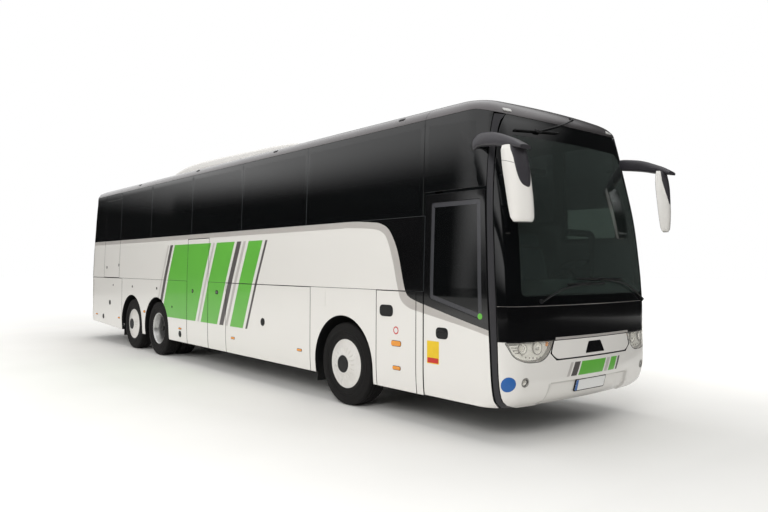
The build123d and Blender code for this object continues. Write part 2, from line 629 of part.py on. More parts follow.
beam = block(-axle_half_w, axle_half_w, -620.0, 620.0, 350.0, 440.0)
for side in (-1, 1):
    rise = front_prism([(side * 600.0, 350.0), (side * 880.0, 455.0), (side * 930.0, 455.0),
                        (side * 930.0, 560.0), (side * 850.0, 560.0), (side * 600.0, 440.0)],
                       -axle_half_w + 10, axle_half_w - 10)
    eye = rod(0.0, side * kingpin_y, tyre_r - eye_half, (0, 0, 1), 2 * eye_half, eye_r)
    beam = beam + rise + eye
for side in (-1, 1):
    beam = beam - rod(0.0, side * kingpin_y, tyre_r - eye_half - 5, (0, 0, 1), 2 * eye_half + 10, kingpin_r + pin_gap)
spring_y = 390.0
spring_r = 105.0
front_spring_s = 300.0
spring_low = 560.0
for side in (-1, 1):
    beam = beam + block(-front_spring_s - 90, front_spring_s + 90, side * spring_y - 60, side * spring_y + 60,
                        439.0, spring_low)
parts["front_axle"] = one(beam)


def knuckle(side):
    lug_y0 = kingpin_y - 55.0
    shape = rod(0.0, side * kingpin_y, tyre_r - eye_half - 1 - fork_t, (0, 0, 1), 2 * (eye_half + 1 + fork_t), kingpin_r)
    for z in (tyre_r - eye_half - 1 - fork_t, tyre_r + eye_half + 1):
        lug = rod(0.0, side * kingpin_y, z, (0, 0, 1), fork_t, 50.0)
        arm = block(-45.0, 45.0, kingpin_y, kingpin_y + 90.0, z, z + fork_t)
        shape = shape + lug + (arm if side > 0 else mirrored(arm))
    back = block(-60.0, 60.0, kingpin_y + 60.0, kingpin_y + 90.0, tyre_r - eye_half - 1 - fork_t,
                 tyre_r + eye_half + 1 + fork_t)
    shape = shape + (back if side > 0 else mirrored(back))
    length = stub_end - (kingpin_y + 70.0)
    shape = shape + rod(0.0, side * (kingpin_y + 70.0), tyre_r, (0, side, 0), length, stub_r)
    lever = block(-tie_back - 25.0, 0.0, kingpin_y - 25.0, kingpin_y + 25.0, tyre_r - eye_half - 1 - fork_t,
                  tyre_r - eye_half - 1)
    shape = shape + (lever if side > 0 else mirrored(lever))
    tip_z = tyre_r - eye_half - 1 - fork_t
    shape = shape + rod(-tie_back, side * kingpin_y, tip_z - 46.0, (0, 0, 1), 47.0, 12.0)
    return one(shape)


tie_back = 200.0
parts["knuckle_right"] = knuckle(-1)
parts["knuckle_left"] = knuckle(1)
tie_z = tyre_r - eye_half - 1 - fork_t - 24.0
tie = rod(-tie_back, -kingpin_y, tie_z, (0, 1, 0), 2 * kingpin_y, 16.0)
for side in (-1, 1):
    tie = tie + rod(-tie_back, side * kingpin_y, tie_z - 20.0, (0, 0, 1), 40.0, 28.0)
for side in (-1, 1):
    tie = tie - rod(-tie_back, side * kingpin_y, tie_z - 40.0, (0, 0, 1), 80.0, 12.0 + pin_gap)
parts["tie_rod"] = one(tie)

drive_s = wheel_stations["drive"]
tag_s = wheel_stations["tag"]
spindle_r = 45.0
tube_r = 75.0
shaft_z = 620.0                # propeller shaft
gearbox_front = -7700.0
drive = rod(drive_s, -560.0, tyre_r, (0, 1, 0), 1120.0, tube_r)
drive = drive + rod(drive_s, -stub_end, tyre_r, (0, 1, 0), 2 * stub_end, spindle_r)
drive = drive + Pos(axle_x + drive_s, 0, tyre_r) * Sphere(215.0)
drive = drive + rod(drive_s, 0.0, shaft_z, (-1, 0, 0), drive_s - gearbox_front - seat_gap, 45.0)
tag = block(tag_s - 60, tag_s + 60, -560.0, 560.0, 300.0, 400.0)
for side in (-1, 1):
    upright = block(tag_s - 60, tag_s + 60, side * 600.0 - 60, side * 600.0 + 60, 300.0, tyre_r + 60)
    tag = tag + upright + rod(tag_s, side * 560.0, tyre_r, (0, side, 0), stub_end - 560.0, spindle_r)
springs = []
spring_top = rail_low - seat_gap
for s in (front_spring_s, -front_spring_s, drive_s + 380, drive_s - 380, tag_s + 330, tag_s - 330):
    for side in (-1, 1):
        y = side * (spring_y + 20)
        springs.append(rod(s, y, spring_low + seat_gap, (0, 0, 1), spring_top - spring_low - seat_gap, spring_r))
for side in (-1, 1):
    y = side * (spring_y + 20)
    drive = drive + block(drive_s - 470, drive_s + 470, y - 60, y + 60, tyre_r - 40, spring_low)
    tag = tag + block(tag_s - 420, tag_s + 420, y - 60, y + 60, 340.0, spring_low)
parts["rear_axles"] = several([one(drive), one(tag)])
parts["air_springs"] = several(springs)

# ---- wheels ---------------------------------------------------------------------------------
bead_r = 286.0
rim_half = 118.0
barrel_t = 14.0
cover_r = 299.0
cover_face = 148.0
hub_r = 120.0
tread_half = 128.0
tyre_half = tyre_w / 2

bore_r = bead_r + 0.1          # a tyre's bore, clear of the rim it sits on
tyre_profile = [(-tyre_half + 22, bore_r), (-tyre_half, 400.0), (-tread_half, tyre_r - 14), (-tread_half + 22, tyre_r),
                (tread_half - 22, tyre_r), (tread_half, tyre_r - 14), (tyre_half, 400.0), (tyre_half - 22, bore_r)]


def single_rim(bore):
    """Barrel, disc with hub, and a dished cover whose rim laps the tyre's bead."""
    return [(-rim_half, bead_r), (-rim_half, bead_r - barrel_t), (-20.0, bead_r - barrel_t - 14),
            (-20.0, hub_r), (-64.0, hub_r), (-64.0, bore), (stub_end - track_half + 2, bore),
            (stub_end - track_half + 2, 0.0), (135.0, 0.0), (135.0, 95.0), (98.0, 118.0), (92.0, 190.0),
            (cover_face - 8, cover_r - 30), (cover_face, cover_r - 12), (cover_face - 4, cover_r),
            (tyre_half - 18, cover_r - 8), (tyre_half - 22, bead_r)]


def twin_rims(bore):
    """Two back-to-back rims on one hub; the outer one is a deep dish."""
    inner = -twin_gap
    return [(inner - rim_half, bead_r), (inner - rim_half, bead_r - barrel_t), (inner + 60, bead_r - barrel_t - 14),
            (-twin_gap / 2 - 10, bead_r - 40), (-twin_gap / 2 - 10, hub_r + 20), (inner - 20, hub_r),
            (inner - 20, bore), (stub_end - twin_outer + 2, bore), (stub_end - twin_outer + 2, 0.0),
            (128.0, 0.0), (128.0, 80.0), (60.0, 105.0), (-twin_gap / 2 + 40, 125.0), (-twin_gap / 2 + 20, 150.0),
            (-twin_gap / 2 + 20, 215.0), (-60.0, bead_r - barrel_t - 14), (rim_half, bead_r - barrel_t),
            (rim_half, bead_r), (-twin_gap / 2 + 45, bead_r), (-twin_gap / 2 + 45, bead_r - 12),
            (-twin_gap / 2 - 45, bead_r - 12), (-twin_gap / 2 - 45, bead_r)]


for side, hand in ((-1, "right"), (1, "left")):
    for place in ("front", "tag"):
        s = wheel_stations[place]
        bore = (stub_r if place == "front" else spindle_r) + pin_gap
        parts[f"{place}_tyre_{hand}"] = flat_ring(tyre_profile, s, track_half, side)
        parts[f"{place}_rim_{hand}"] = turned(single_rim(bore), s, track_half, side)
    tyres = [flat_ring([(out + shift, r) for out, r in tyre_profile], drive_s, twin_outer, side)
             for shift in (0.0, -twin_gap)]
    parts[f"drive_tyres_{hand}"] = several(tyres)
    parts[f"drive_rims_{hand}"] = turned(twin_rims(spindle_r + pin_gap), drive_s, twin_outer, side)

# ---- engine ---------------------------------------------------------------------------------
engine = block(-9700.0, -8350.0, -rail_in + seat_gap, rail_in - seat_gap, 560.0, 930.0)
gearbox = block(-8350.0, gearbox_front, -230.0, 230.0, 560.0, 920.0)
parts["engine"] = one(engine + gearbox)

# ---- inside -------------------------------------------------------------------------------
seat_line = [(0.0, 0.0), (420.0, 0.0), (430.0, 300.0), (470.0, 330.0), (460.0, 430.0), (60.0, 420.0),
             (-110.0, 1130.0), (-190.0, 1130.0), (-60.0, 330.0), (0.0, 300.0)]
seat_pitch = 780.0
first_seat = 500.0
seat_rows = 12
seats = []
for row in range(seat_rows):
    s = first_seat - row * seat_pitch
    for y0, y1 in ((-1160.0, -290.0), (290.0, 1160.0)):
        over_well = y0 < 0 and middle_door_back - 480 < s < middle_door_front + 200
        at_exit = y0 < 0 and exit_door_back - 300 < s < exit_door_front + 50
        if not over_well and not at_exit:
            seats.append(side_prism([(s + a, deck_top + b) for a, b in seat_line], y0, y1))
parts["passenger_seats"] = several(seats)
driver_s = 1420.0
driver_y = 620.0
driver_seat = side_prism([(driver_s + a, platform_top + b) for a, b in seat_line], driver_y - 250, driver_y + 250)
parts["driver_seat"] = one(driver_seat)
rack_z = 2930.0
rack = block(-9700.0, 1200.0, 820.0, far, rack_z, rack_z + 70.0) & inside
parts["luggage_racks"] = several([one(rack), mirrored(one(rack))])

dash_line = [(2150.0, platform_top), (2080.0, 1250.0), (2020.0, 1430.0), (2060.0, 1560.0), (2180.0, 1600.0),
             (2330.0, 1570.0), (2600.0, 1400.0), (2640.0, platform_top)]
dash = (side_prism(dash_line, -420.0, 1200.0) & hull(wall + 10.0)) - front_region
dash = dash + (side_prism([(2330.0, 1380.0), (2330.0, 1500.0), (2700.0, 1330.0), (2700.0, platform_top),
                           (2330.0, platform_top)], -420.0, 1000.0) & inside)
parts["dashboard"] = one(dash)

wheel_s = 1960.0
wheel_z = 1700.0
wheel_tilt = 62.0              # degrees of the steering column from level
column = (math.cos(math.radians(wheel_tilt)), 0.0, -math.sin(math.radians(wheel_tilt)))
hand_r = 225.0
grip_r = 16.0
wheel_plane = Plane(origin=(axle_x + wheel_s, driver_y, wheel_z), z_dir=column)
ring = Solid.make_torus(hand_r, grip_r, wheel_plane)
spoke = wheel_plane * Box(2 * hand_r, 46.0, 18.0)
spoke = spoke + wheel_plane * Cylinder(60.0, 40.0)
shaft_len = 260.0
steer = ring + spoke
steer = steer + Solid.make_cylinder(20.0, shaft_len, wheel_plane)
parts["steering_wheel"] = one(steer)
socket = Solid.make_cylinder(20.0 + pin_gap, shaft_len + 30.0, wheel_plane)
parts["dashboard"] = one(parts["dashboard"] - socket)

# ---- mirrors --------------------------------------------------------------------------------
arm_sections = [                # station, y, height, tall, wide
    (2130.0, 1190.0, 2925.0, 115.0, 60.0),
    (2290.0, 1275.0, 2955.0, 115.0, 80.0),
    (2450.0, 1310.0, 2945.0, 95.0, 100.0),
    (2640.0, 1325.0, 2895.0, 70.0, 130.0),
    (2830.0, 1330.0, 2812.0, 40.0, 150.0),
]
head_sections = [               # station, y, height, wide, deep
    (2735.0, 1325.0, 2800.0, 235.0, 120.0),
    (2760.0, 1312.0, 2620.0, 250.0, 150.0),
    (2790.0, 1295.0, 2350.0, 235.0, 120.0),
    (2805.0, 1285.0, 2150.0, 190.0, 60.0),
]
head_yaw = 24.0


def mirror(side):
    wires = []
    for s, y, z, tall, wide in arm_sections:
        pts = [(-wide / 2, -tall / 2), (wide / 2, -tall / 2), (wide / 2, tall / 2), (-wide / 2, tall / 2)]
        wires.append(Wire.make_polygon([Vector(axle_x + s, y + a, z + b) for a, b in pts], close=True))
    arm = Solid.make_loft(wires, ruled=True) - hull(-seat_gap)
    head_wires = []
    c, n = math.cos(math.radians(head_yaw)), math.sin(math.radians(head_yaw))
    for s, y, z, wide, deep in head_sections:
        pts = [(-deep / 2, -wide / 2), (deep / 2, -wide / 2), (deep / 2, wide / 2), (-deep / 2, wide / 2)]
        head_wires.append(Wire.make_polygon([Vector(axle_x + s + a * c - b * n, y + a * n + b * c, z)
                                             for a, b in pts], close=True))
    head = Solid.make_loft(head_wires, ruled=True)
    shape = one(arm).fuse(head)
    return one(shape if side > 0 else mirrored(shape))


parts["mirrors"] = several([mirror(-1), mirror(1)])

# ---- door arms --------------------------------------------------------------------------------
arm_len = 500.0
arm_post_r = 22.0


def door_arm(pivot, hinge, inward, floor, low, high):
    """A cranked arm from an upright shaft to the door's middle: shaft, one arm low and one high, and a pin tube."""
    bend = (pivot[0], pivot[1] + inward)
    shape = rod(pivot[0], pivot[1], floor + seat_gap, (0, 0, 1), high + 60 - floor - seat_gap, arm_post_r)
    shape = shape + rod(hinge[0], hinge[1], low - 60, (0, 0, 1), high - low + 120, 14.0)
    for z in (low, high):
        for a, b in ((pivot, bend), (bend, hinge)):
            dx, dy = b[0] - a[0], b[1] - a[1]
            length = math.hypot(dx, dy)
            bar = Box(length + 30, 30.0, 30.0)
            turn = math.degrees(math.atan2(dy, dx))
            shape = shape + Pos(axle_x + (a[0] + b[0]) / 2, (a[1] + b[1]) / 2, z) * (Rot(0, 0, turn) * bar)
    return one(shape)


front_pivot = (2330.0, -1140.0)
front_hinge_at = (front_pivot[0] - arm_len, -1150.0)
middle_pivot = (-4545.0, -1140.0)
middle_hinge_at = (middle_pivot[0] + arm_len, -1150.0)
parts["front_door_arm"] = door_arm(front_pivot, front_hinge_at, 200.0, 420.0, 760.0, 1060.0)
parts["middle_door_arm"] = door_arm(middle_pivot, middle_hinge_at, 200.0, bay_floor_top, 1300.0, 1700.0)


def door_brackets(hinge, low, high):
    """Ears on the inside of a door that hold the arm's pin."""
    made = []
    for z in (low - 62.0, high + 32.0):
        ear = block(hinge[0] - 30, hinge[0] + 30, -far, hinge[1] + 24, z, z + 30.0) & hull(leaf - 1)
        made.append(one(ear - rod(hinge[0], hinge[1], z - 5, (0, 0, 1), 40.0, 14.0 + pin_gap)))
    return made


for node, hinge, low, high in (("front_door", front_hinge_at, 760.0, 1060.0),
                               ("middle_door", middle_hinge_at, 1300.0, 1700.0)):
    shape = parts[node]
    for ear in door_brackets(hinge, low, high):
        shape = shape + ear
    parts[node] = one(shape)

# ---- write -----------------------------------------------------------------------------------
os.makedirs("parts", exist_ok=True)
for name, shape in parts.items():
    export_step(shape, f"parts/{name}.step")
print(len(parts), "nodes")
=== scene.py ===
import math

import bpy
import numpy as np
from mathutils import Matrix, Vector, geometry


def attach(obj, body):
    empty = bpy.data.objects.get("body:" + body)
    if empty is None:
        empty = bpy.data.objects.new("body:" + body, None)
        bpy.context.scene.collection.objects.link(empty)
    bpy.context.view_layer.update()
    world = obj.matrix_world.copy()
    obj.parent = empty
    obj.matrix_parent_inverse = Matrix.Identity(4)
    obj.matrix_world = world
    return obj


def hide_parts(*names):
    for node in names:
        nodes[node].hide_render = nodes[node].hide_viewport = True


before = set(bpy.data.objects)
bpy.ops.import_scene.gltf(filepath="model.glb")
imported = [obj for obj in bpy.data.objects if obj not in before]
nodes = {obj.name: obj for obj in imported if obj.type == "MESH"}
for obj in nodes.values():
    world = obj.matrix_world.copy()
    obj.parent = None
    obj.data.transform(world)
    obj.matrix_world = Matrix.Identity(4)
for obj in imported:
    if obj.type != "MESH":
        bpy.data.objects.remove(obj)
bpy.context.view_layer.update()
print("frame loaded,", len(nodes), "nodes")

# Tables below are in millimetres. A station is forward of the front axle, y to the left, z up.
mm = 0.001
axleX = 3712.5


# Materials
def linear(hexCode):
    parts = [int(hexCode[i:i + 2], 16) / 255 for i in (1, 3, 5)]
    return [p / 12.92 if p <= 0.04045 else ((p + 0.055) / 1.055) ** 2.4 for p in parts] + [1.0]


def addNode(tree, kind, settings=None, links=None):
    made = tree.nodes.new(kind)
    for key, value in (settings or {}).items():
        if isinstance(key, int) or key in made.inputs:
            made.inputs[key].default_value = value
        else:
            setattr(made, key, value)
    for key, source in (links or {}).items():
        tree.links.new(source, made.inputs[key])
    return made


def joined(tree, operation, first, second):
    return addNode(tree, "ShaderNodeMath", {"operation": operation}, {0: first, 1: second}).outputs[0]


def twoTones(tree, first, second, factor):
    return addNode(tree, "ShaderNodeMix", {"data_type": "RGBA", 6: linear(first), 7: linear(second)},
                   {0: factor}).outputs[2]


def finish(name, look):
    # look: hex and rough are needed; sockets sets others; grain and mottle are (size in mm, amount)
    material = bpy.data.materials.new(name)
    material.use_nodes = True
    tree = material.node_tree
    shader = tree.nodes["Principled BSDF"]
    shader.inputs["Base Color"].default_value = linear(look["hex"])
    shader.inputs["Roughness"].default_value = look["rough"]
    for key, value in look.get("sockets", {}).items():
        shader.inputs[key].default_value = value
    place = addNode(tree, "ShaderNodeTexCoord").outputs["Object"]
    if "mottle" in look:
        size, otherHex, share = look["mottle"]
        cloud = addNode(tree, "ShaderNodeTexNoise", {"Scale": 1 / (size * mm), "Detail": 3.0},
                        {"Vector": place})
        amount = addNode(tree, "ShaderNodeMapRange", {1: 0.35, 2: 0.75, 3: 0.0, 4: share},
                         {0: cloud.outputs[0]})
        blend = addNode(tree, "ShaderNodeMix", {"data_type": "RGBA", 6: linear(look["hex"]),
                                                7: linear(otherHex)},
                        {0: amount.outputs[0]})
        tree.links.new(blend.outputs[2], shader.inputs["Base Color"])
        patch = addNode(tree, "ShaderNodeMapRange", {1: 0.3, 2: 0.8, 3: look["rough"] * 0.96,
                                                     4: look["rough"] * 1.1},
                        {0: cloud.outputs[0]})
        tree.links.new(patch.outputs[0], shader.inputs["Roughness"])
    if "grain" in look:
        size, height = look["grain"]
        grit = addNode(tree, "ShaderNodeTexNoise", {"Scale": 1 / (size * mm), "Detail": 2.0},
                       {"Vector": place})
        bump = addNode(tree, "ShaderNodeBump", {"Strength": 1.0, "Distance": height * mm},
                       {"Height": grit.outputs[0]})
        tree.links.new(bump.outputs[0], shader.inputs["Normal"])
    return material


# Two-pack coach enamel, sprayed: deep gloss with a faint orange peel, a little road film
coachWhite = finish("coachEnamelWhite", {"hex": "#e4e1dc", "rough": 0.24, "sockets": {"Coat Weight": 0.5,
                    "Coat Roughness": 0.06}, "mottle": (2400, "#e0ddd7", 0.5), "grain": (9, 0.006)})
# Black gloss vinyl over the panels: mirror-like, so the sky shows along it
blackFilm = finish("blackGlossFilm", {"hex": "#0a0a0b", "rough": 0.1, "sockets": {"Coat Weight": 0.6,
                   "Coat Roughness": 0.04}, "mottle": (700, "#0f0f10", 0.8)})
# Metallic roof paint, sprayed: fine flakes under clear lacquer give a soft grey sheen
roofPaint = finish("roofPaintGrey", {"hex": "#5f5b5c", "rough": 0.34, "sockets": {"Metallic": 0.55,
                   "Coat Weight": 0.7, "Coat Roughness": 0.08}, "mottle": (500, "#575354", 0.7),
                                     "grain": (5, 0.01)})
# Silver cast film: a flat aluminium look, cut as the sweeping band
silverFilm = finish("silverCastFilm", {"hex": "#c2bdb8", "rough": 0.36, "sockets": {"Metallic": 0.3},
                    "mottle": (400, "#b6b1ac", 0.5)})
# Coloured cast films for the bars: even colour, slightly softer gloss than the paint
greenFilm = finish("greenCastFilm", {"hex": "#63b440", "rough": 0.3, "sockets": {"Coat Weight": 0.3},
                   "mottle": (600, "#5cab3b", 0.6)})
darkFilm = finish("darkGreyCastFilm", {"hex": "#565150", "rough": 0.32, "mottle": (600, "#4e4a49", 0.6)})
lightFilm = finish("lightGreyCastFilm", {"hex": "#b7b2ae", "rough": 0.32, "mottle": (600, "#aba6a2", 0.6)})
# Body-tinted toughened glass: nearly black from outside, only a hint of the cabin
sideGlass = finish("tintedSideGlass", {"hex": "#17191a", "rough": 0.03,
                                       "sockets": {"Transmission Weight": 0.72,
                   "IOR": 1.5, "Coat Weight": 0.3, "Coat Roughness": 0.02}, "mottle": (800, "#131516", 0.5)})
# Laminated windscreen: green-grey tint, clear enough for the dashboard to show
screenGlass = finish("laminatedScreenGlass", {"hex": "#75807b", "rough": 0.02, "sockets": {
                     "Transmission Weight": 0.96, "IOR": 1.45}, "mottle": (900, "#6f7a75", 0.5)})
# Driver's side window: a lighter green tint than the passengers' glass, so daylight shows through the cab
driverGlass = finish("tintedDriverGlass", {"hex": "#6a756e", "rough": 0.02, "sockets": {
                     "Transmission Weight": 0.96, "IOR": 1.45}, "mottle": (900, "#646f68", 0.5)})
# Fired black enamel round the bonded glass: opaque with a glass gloss
fritBlack = finish("firedBlackFrit", {"hex": "#08090a", "rough": 0.06, "sockets": {"Coat Weight": 0.5,
                   "Coat Roughness": 0.03}, "mottle": (700, "#0c0d0e", 0.8)})
# Grey enamel round the door's pane: reads as a frame between the black film and the glass
fritGrey = finish("firedGreyFrit", {"hex": "#424245", "rough": 0.12, "mottle": (700, "#3a3a3d", 0.6)})
# EPDM seals and edges: matt black, slightly grey where dusty
sealRubber = finish("epdmSeal", {"hex": "#121212", "rough": 0.62, "mottle": (60, "#1b1a19", 0.6),
                                 "grain": (3, 0.05)})
# Moulded ABS, grained: soft sheen broken by a leather-like grain
absBlack = finish("absMouldedBlack", {"hex": "#131314", "rough": 0.48,
                                      "sockets": {"Specular IOR Level": 0.35},
                                      "mottle": (90, "#1d1d1e", 0.6),
                  "grain": (4, 0.12)})
# Painted aluminium arms: dark grey, half gloss
mirrorArm = finish("paintedArmGrey", {"hex": "#3a383c", "rough": 0.38, "mottle": (120, "#333135", 0.6),
                                      "grain": (3, 0.05)})
# Corner posts under satin grey film: between the gloss black of the doors and the screen
postFilm = finish("satinGreyPostFilm", {"hex": "#2c2b2e", "rough": 0.36, "mottle": (300, "#262528", 0.6)})
# Soft-touch dashboard skin: grey with a fine grain, so that daylight through the screen picks it out
dashSkin = finish("softTouchDashSkin", {"hex": "#4b5653", "rough": 0.55, "mottle": (120, "#535e5b", 0.6),
                  "grain": (4, 0.12)})
# The same moulding in dark grey, for the seams and the roof's lining
absGrey = finish("absMouldedGrey", {"hex": "#33383a", "rough": 0.5, "mottle": (90, "#2b3032", 0.6),
                                    "grain": (4, 0.12)})
# Chassis paint on rolled steel: satin black with dust in patches
chassisPaint = finish("chassisPaintBlack", {"hex": "#1a1a1b", "rough": 0.5, "mottle": (160, "#2a2826", 0.6),
                      "grain": (12, 0.15)})
# Painted castings: rough and dull, with rust-brown dust
castIron = finish("castIronPainted", {"hex": "#232323", "rough": 0.62, "sockets": {"Metallic": 0.3},
                  "mottle": (60, "#34302c", 0.5), "grain": (5, 0.3)})
# Sheet vinyl flooring: flecked grey, matt
floorVinyl = finish("sheetVinylFloor", {"hex": "#4b4d50", "rough": 0.6, "mottle": (14, "#6a6c6e", 0.7),
                    "grain": (3, 0.08)})
# Woven seat plush: dark blue-grey, soft sheen, its fleck coarser than the 2 mm pile so that it shows
seatPlush = finish("wovenSeatPlush", {"hex": "#3a4348", "rough": 0.9, "sockets": {"Sheen Weight": 0.5,
                   "Sheen Roughness": 0.4}, "mottle": (22, "#59656b", 0.8), "grain": (6, 0.8)})
# Tyre tread compound, moulded: brown-black and matt, dust worn into it
tyreRubber = finish("tyreCompound", {"hex": "#131212", "rough": 0.72,
                                     "sockets": {"Specular IOR Level": 0.25}, "mottle": (45, "#1d1b1a", 0.7),
                    "grain": (3, 0.18)})
# Bellows of the air springs, moulded rubber over cord
bellows = finish("bellowsRubber", {"hex": "#141414", "rough": 0.66, "mottle": (50, "#201f1e", 0.6),
                                   "grain": (5, 0.3)})
# Pressed steel wheel covers, white enamel: crisp gloss, faint brake dust in the dish
coverEnamel = finish("coverEnamelWhite", {"hex": "#dedbd6", "rough": 0.28, "sockets": {"Coat Weight": 0.4},
                     "mottle": (120, "#c9c4bd", 0.5), "grain": (8, 0.02)})
# Forged aluminium wheel, machined and polished: bright with a soft lathe haze
forgedAlloy = finish("forgedAlloyPolished", {"hex": "#dcdcda", "rough": 0.3, "sockets": {"Metallic": 0.8},
                     "mottle": (40, "#b3b2b0", 0.6), "grain": (2, 0.02)})
# Zinc-plated steel nuts and fittings
zincSteel = finish("zincPlatedSteel", {"hex": "#9c9c9a", "rough": 0.36, "sockets": {"Metallic": 1.0},
                   "mottle": (12, "#83827f", 0.6), "grain": (2, 0.03)})
# Polycarbonate lamp covers: clear and colourless with a slight warm cast
lampLens = finish("polycarbonateLens", {"hex": "#f3f2ee", "rough": 0.03,
                                        "sockets": {"Transmission Weight": 0.94,
                  "IOR": 1.45}, "mottle": (200, "#eceae5", 0.5)})
# Vacuum-metallised reflector: chrome-bright with faint ripples
lampMirror = finish("metallisedReflector", {"hex": "#fbfaf6", "rough": 0.3, "sockets": {"Metallic": 0.35},
                    "mottle": (30, "#dedbd4", 0.6), "grain": (14, 0.5)})
# Satin-metallised trim round the reflectors: greyer and duller than they are
lampBezel = finish("lampBezelSatin", {"hex": "#a5a29d", "rough": 0.35, "sockets": {"Metallic": 0.6},
                   "mottle": (50, "#7c7975", 0.6), "grain": (6, 0.1)})
# Coloured lamp lenses, moulded with small flutes that break up the gloss
amberLens = finish("amberPolycarbonate", {"hex": "#e08a1c", "rough": 0.18, "sockets": {"Coat Weight": 0.5},
                   "mottle": (12, "#f3a53a", 0.7), "grain": (5, 0.25)})
redLens = finish("redPolycarbonate", {"hex": "#a5161a", "rough": 0.16, "sockets": {"Coat Weight": 0.5},
                 "mottle": (14, "#c2262a", 0.7), "grain": (6, 0.25)})
clearMarker = finish("clearMarkerLens", {"hex": "#c4c3c0", "rough": 0.16, "sockets": {"Coat Weight": 0.5},
                     "mottle": (12, "#dddcd8", 0.7), "grain": (5, 0.2)})
# Reflective plate sheeting, blank
plateWhite = finish("plateSheetingWhite", {"hex": "#e9e9e7", "rough": 0.35, "mottle": (9, "#dcdcda", 0.6),
                    "grain": (1.5, 0.05)})
# Plain sticker films in flat colours
filmBlue = finish("blueCastFilm", {"hex": "#2460a6", "rough": 0.3, "mottle": (60, "#205798", 0.5)})
filmYellow = finish("yellowCastFilm", {"hex": "#e8c21d", "rough": 0.32, "mottle": (60, "#dcb516", 0.5)})
filmRed = finish("redCastFilm", {"hex": "#c62a22", "rough": 0.32, "mottle": (60, "#b5241d", 0.5)})
# Silvered glass: a clean cold reflection
mirrorGlass = finish("silveredMirrorGlass", {"hex": "#d9dcdc", "rough": 0.02, "sockets": {"Metallic": 1.0},
                     "mottle": (200, "#d0d4d4", 0.4)})
print("materials made")

# The body's form
body = {
    "nose": 2720.0, "tail": 10360.0, "half": 1275.0,
    "frontCorner": 262.0, "rearCorner": 380.0, "frontCrown": 7100.0, "rearCrown": 6500.0,
    "skirt": 335.0, "waist": 1435.0, "sill": 2250.0, "glassTop": 3284.0, "screenTop": 3215.0,
    "screenLow": 1330.0, "maskLow": 995.0, "wall": 45.0, "leaf": 35.0, "glass": 8.0,
    "rearSeam": -9995.0, "capSeam": 1430.0, "archRadius": 595.0, "tyreRadius": 508.0,
}
# Height, half width tucked in, nose drawn back, tail drawn in
sections = np.array([
    (335, 19, 170, 60), (400, 11, 85, 40), (520, 3, 30, 10), (750, 0, 5, 0), (1000, 0, 10, 0),
                     (1435, 0, 24, 0),
    (1800, 9, 56, 12), (2260, 23, 115, 45), (2770, 39, 230, 100), (3215, 53, 340, 160), (3284, 55, 362, 172),
    (3335, 76, 402, 192), (3385, 127, 470, 230), (3430, 218, 570, 290), (3465, 350, 720, 380),
                     (3492, 560, 940, 520),
], float)


def slopes(z, v):
    # tangents of a curve through the table that never overshoots it
    d = np.diff(v) / np.diff(z)
    m = np.concatenate([[d[0]], (d[:-1] + d[1:]) / 2, [d[-1]]])
    for i in range(len(d)):
        if d[i] == 0:
            m[i] = m[i + 1] = 0
        else:
            for j in (i, i + 1):
                if m[j] / d[i] < 0:
                    m[j] = 0
                m[j] = math.copysign(min(abs(m[j]), 3 * abs(d[i])), d[i]) if m[j] else 0
    return m


heights = sections[:, 0]
tangents = [slopes(heights, sections[:, k]) for k in (1, 2, 3)]
planCache = {}


def planAt(z):
    # the plan at one height: straight sides, crowned ends, four corner arcs
    key = round(z, 1)
    if key in planCache:
        return planCache[key]
    zc = min(max(z, heights[0]), heights[-1])
    i = min(int(np.searchsorted(heights, zc, side="right")) - 1, len(heights) - 2)
    h = heights[i + 1] - heights[i]
    u = (zc - heights[i]) / h
    values = []
    for k in range(3):
        v0, v1 = sections[i, k + 1], sections[i + 1, k + 1]
        m0, m1 = tangents[k][i] * h, tangents[k][i + 1] * h
        values.append((2 * u ** 3 - 3 * u ** 2 + 1) * v0 + (u ** 3 - 2 * u ** 2 + u) * m0
                      + (3 * u ** 2 - 2 * u ** 3) * v1 + (u ** 3 - u ** 2) * m1)
    half = body["half"] - values[0]
    front = body["nose"] - values[1]
    back = values[2] - body["tail"]
    r1, r2, k1, k2 = body["frontCorner"], body["rearCorner"], body["frontCrown"], body["rearCrown"]
    a1 = math.asin((half - r1) / (k1 - r1))
    a2 = math.asin((half - r2) / (k2 - r2))
    c1 = front - k1 + (k1 - r1) * math.cos(a1)
    c2 = back + k2 - (k2 - r2) * math.cos(a2)
    plan = {"half": half, "front": front, "back": back, "a1": a1, "a2": a2, "c1": c1, "c2": c2,
            "mid1": c1 + r1 * (math.pi / 2 - a1) + k1 * a1, "mid2": c2 - r2 * (math.pi / 2 - a2) - k2 * a2}
    planCache[key] = plan
    return plan


def around(run, z, deep):
    # a point of the left half outline; run is the station on the side, unrolled round the corners
    p = planAt(z)
    if run > p["c1"]:
        r, k = body["frontCorner"], body["frontCrown"]
        turn = (run - p["c1"]) / r
        if turn <= math.pi / 2 - p["a1"]:
            return p["c1"] + (r - deep) * math.sin(turn), p["half"] - r + (r - deep) * math.cos(turn)
        angle = (p["mid1"] - run) / k
        return p["front"] - k + (k - deep) * math.cos(angle), (k - deep) * math.sin(angle)
    if run < p["c2"]:
        r, k = body["rearCorner"], body["rearCrown"]
        turn = (p["c2"] - run) / r
        if turn <= math.pi / 2 - p["a2"]:
            return p["c2"] - (r - deep) * math.sin(turn), p["half"] - r + (r - deep) * math.cos(turn)
        angle = (run - p["mid2"]) / k
        return p["back"] + k - (k - deep) * math.cos(angle), (k - deep) * math.sin(angle)
    return run, p["half"] - deep


def onSide(side):
    def place(a, b, deep):
        x, y = around(a, b, deep)
        return x, side * y, b
    return place


def onFront(a, b, deep):
    x, y = around(planAt(b)["mid1"] - abs(a), b, deep)
    return x, math.copysign(y, a), b


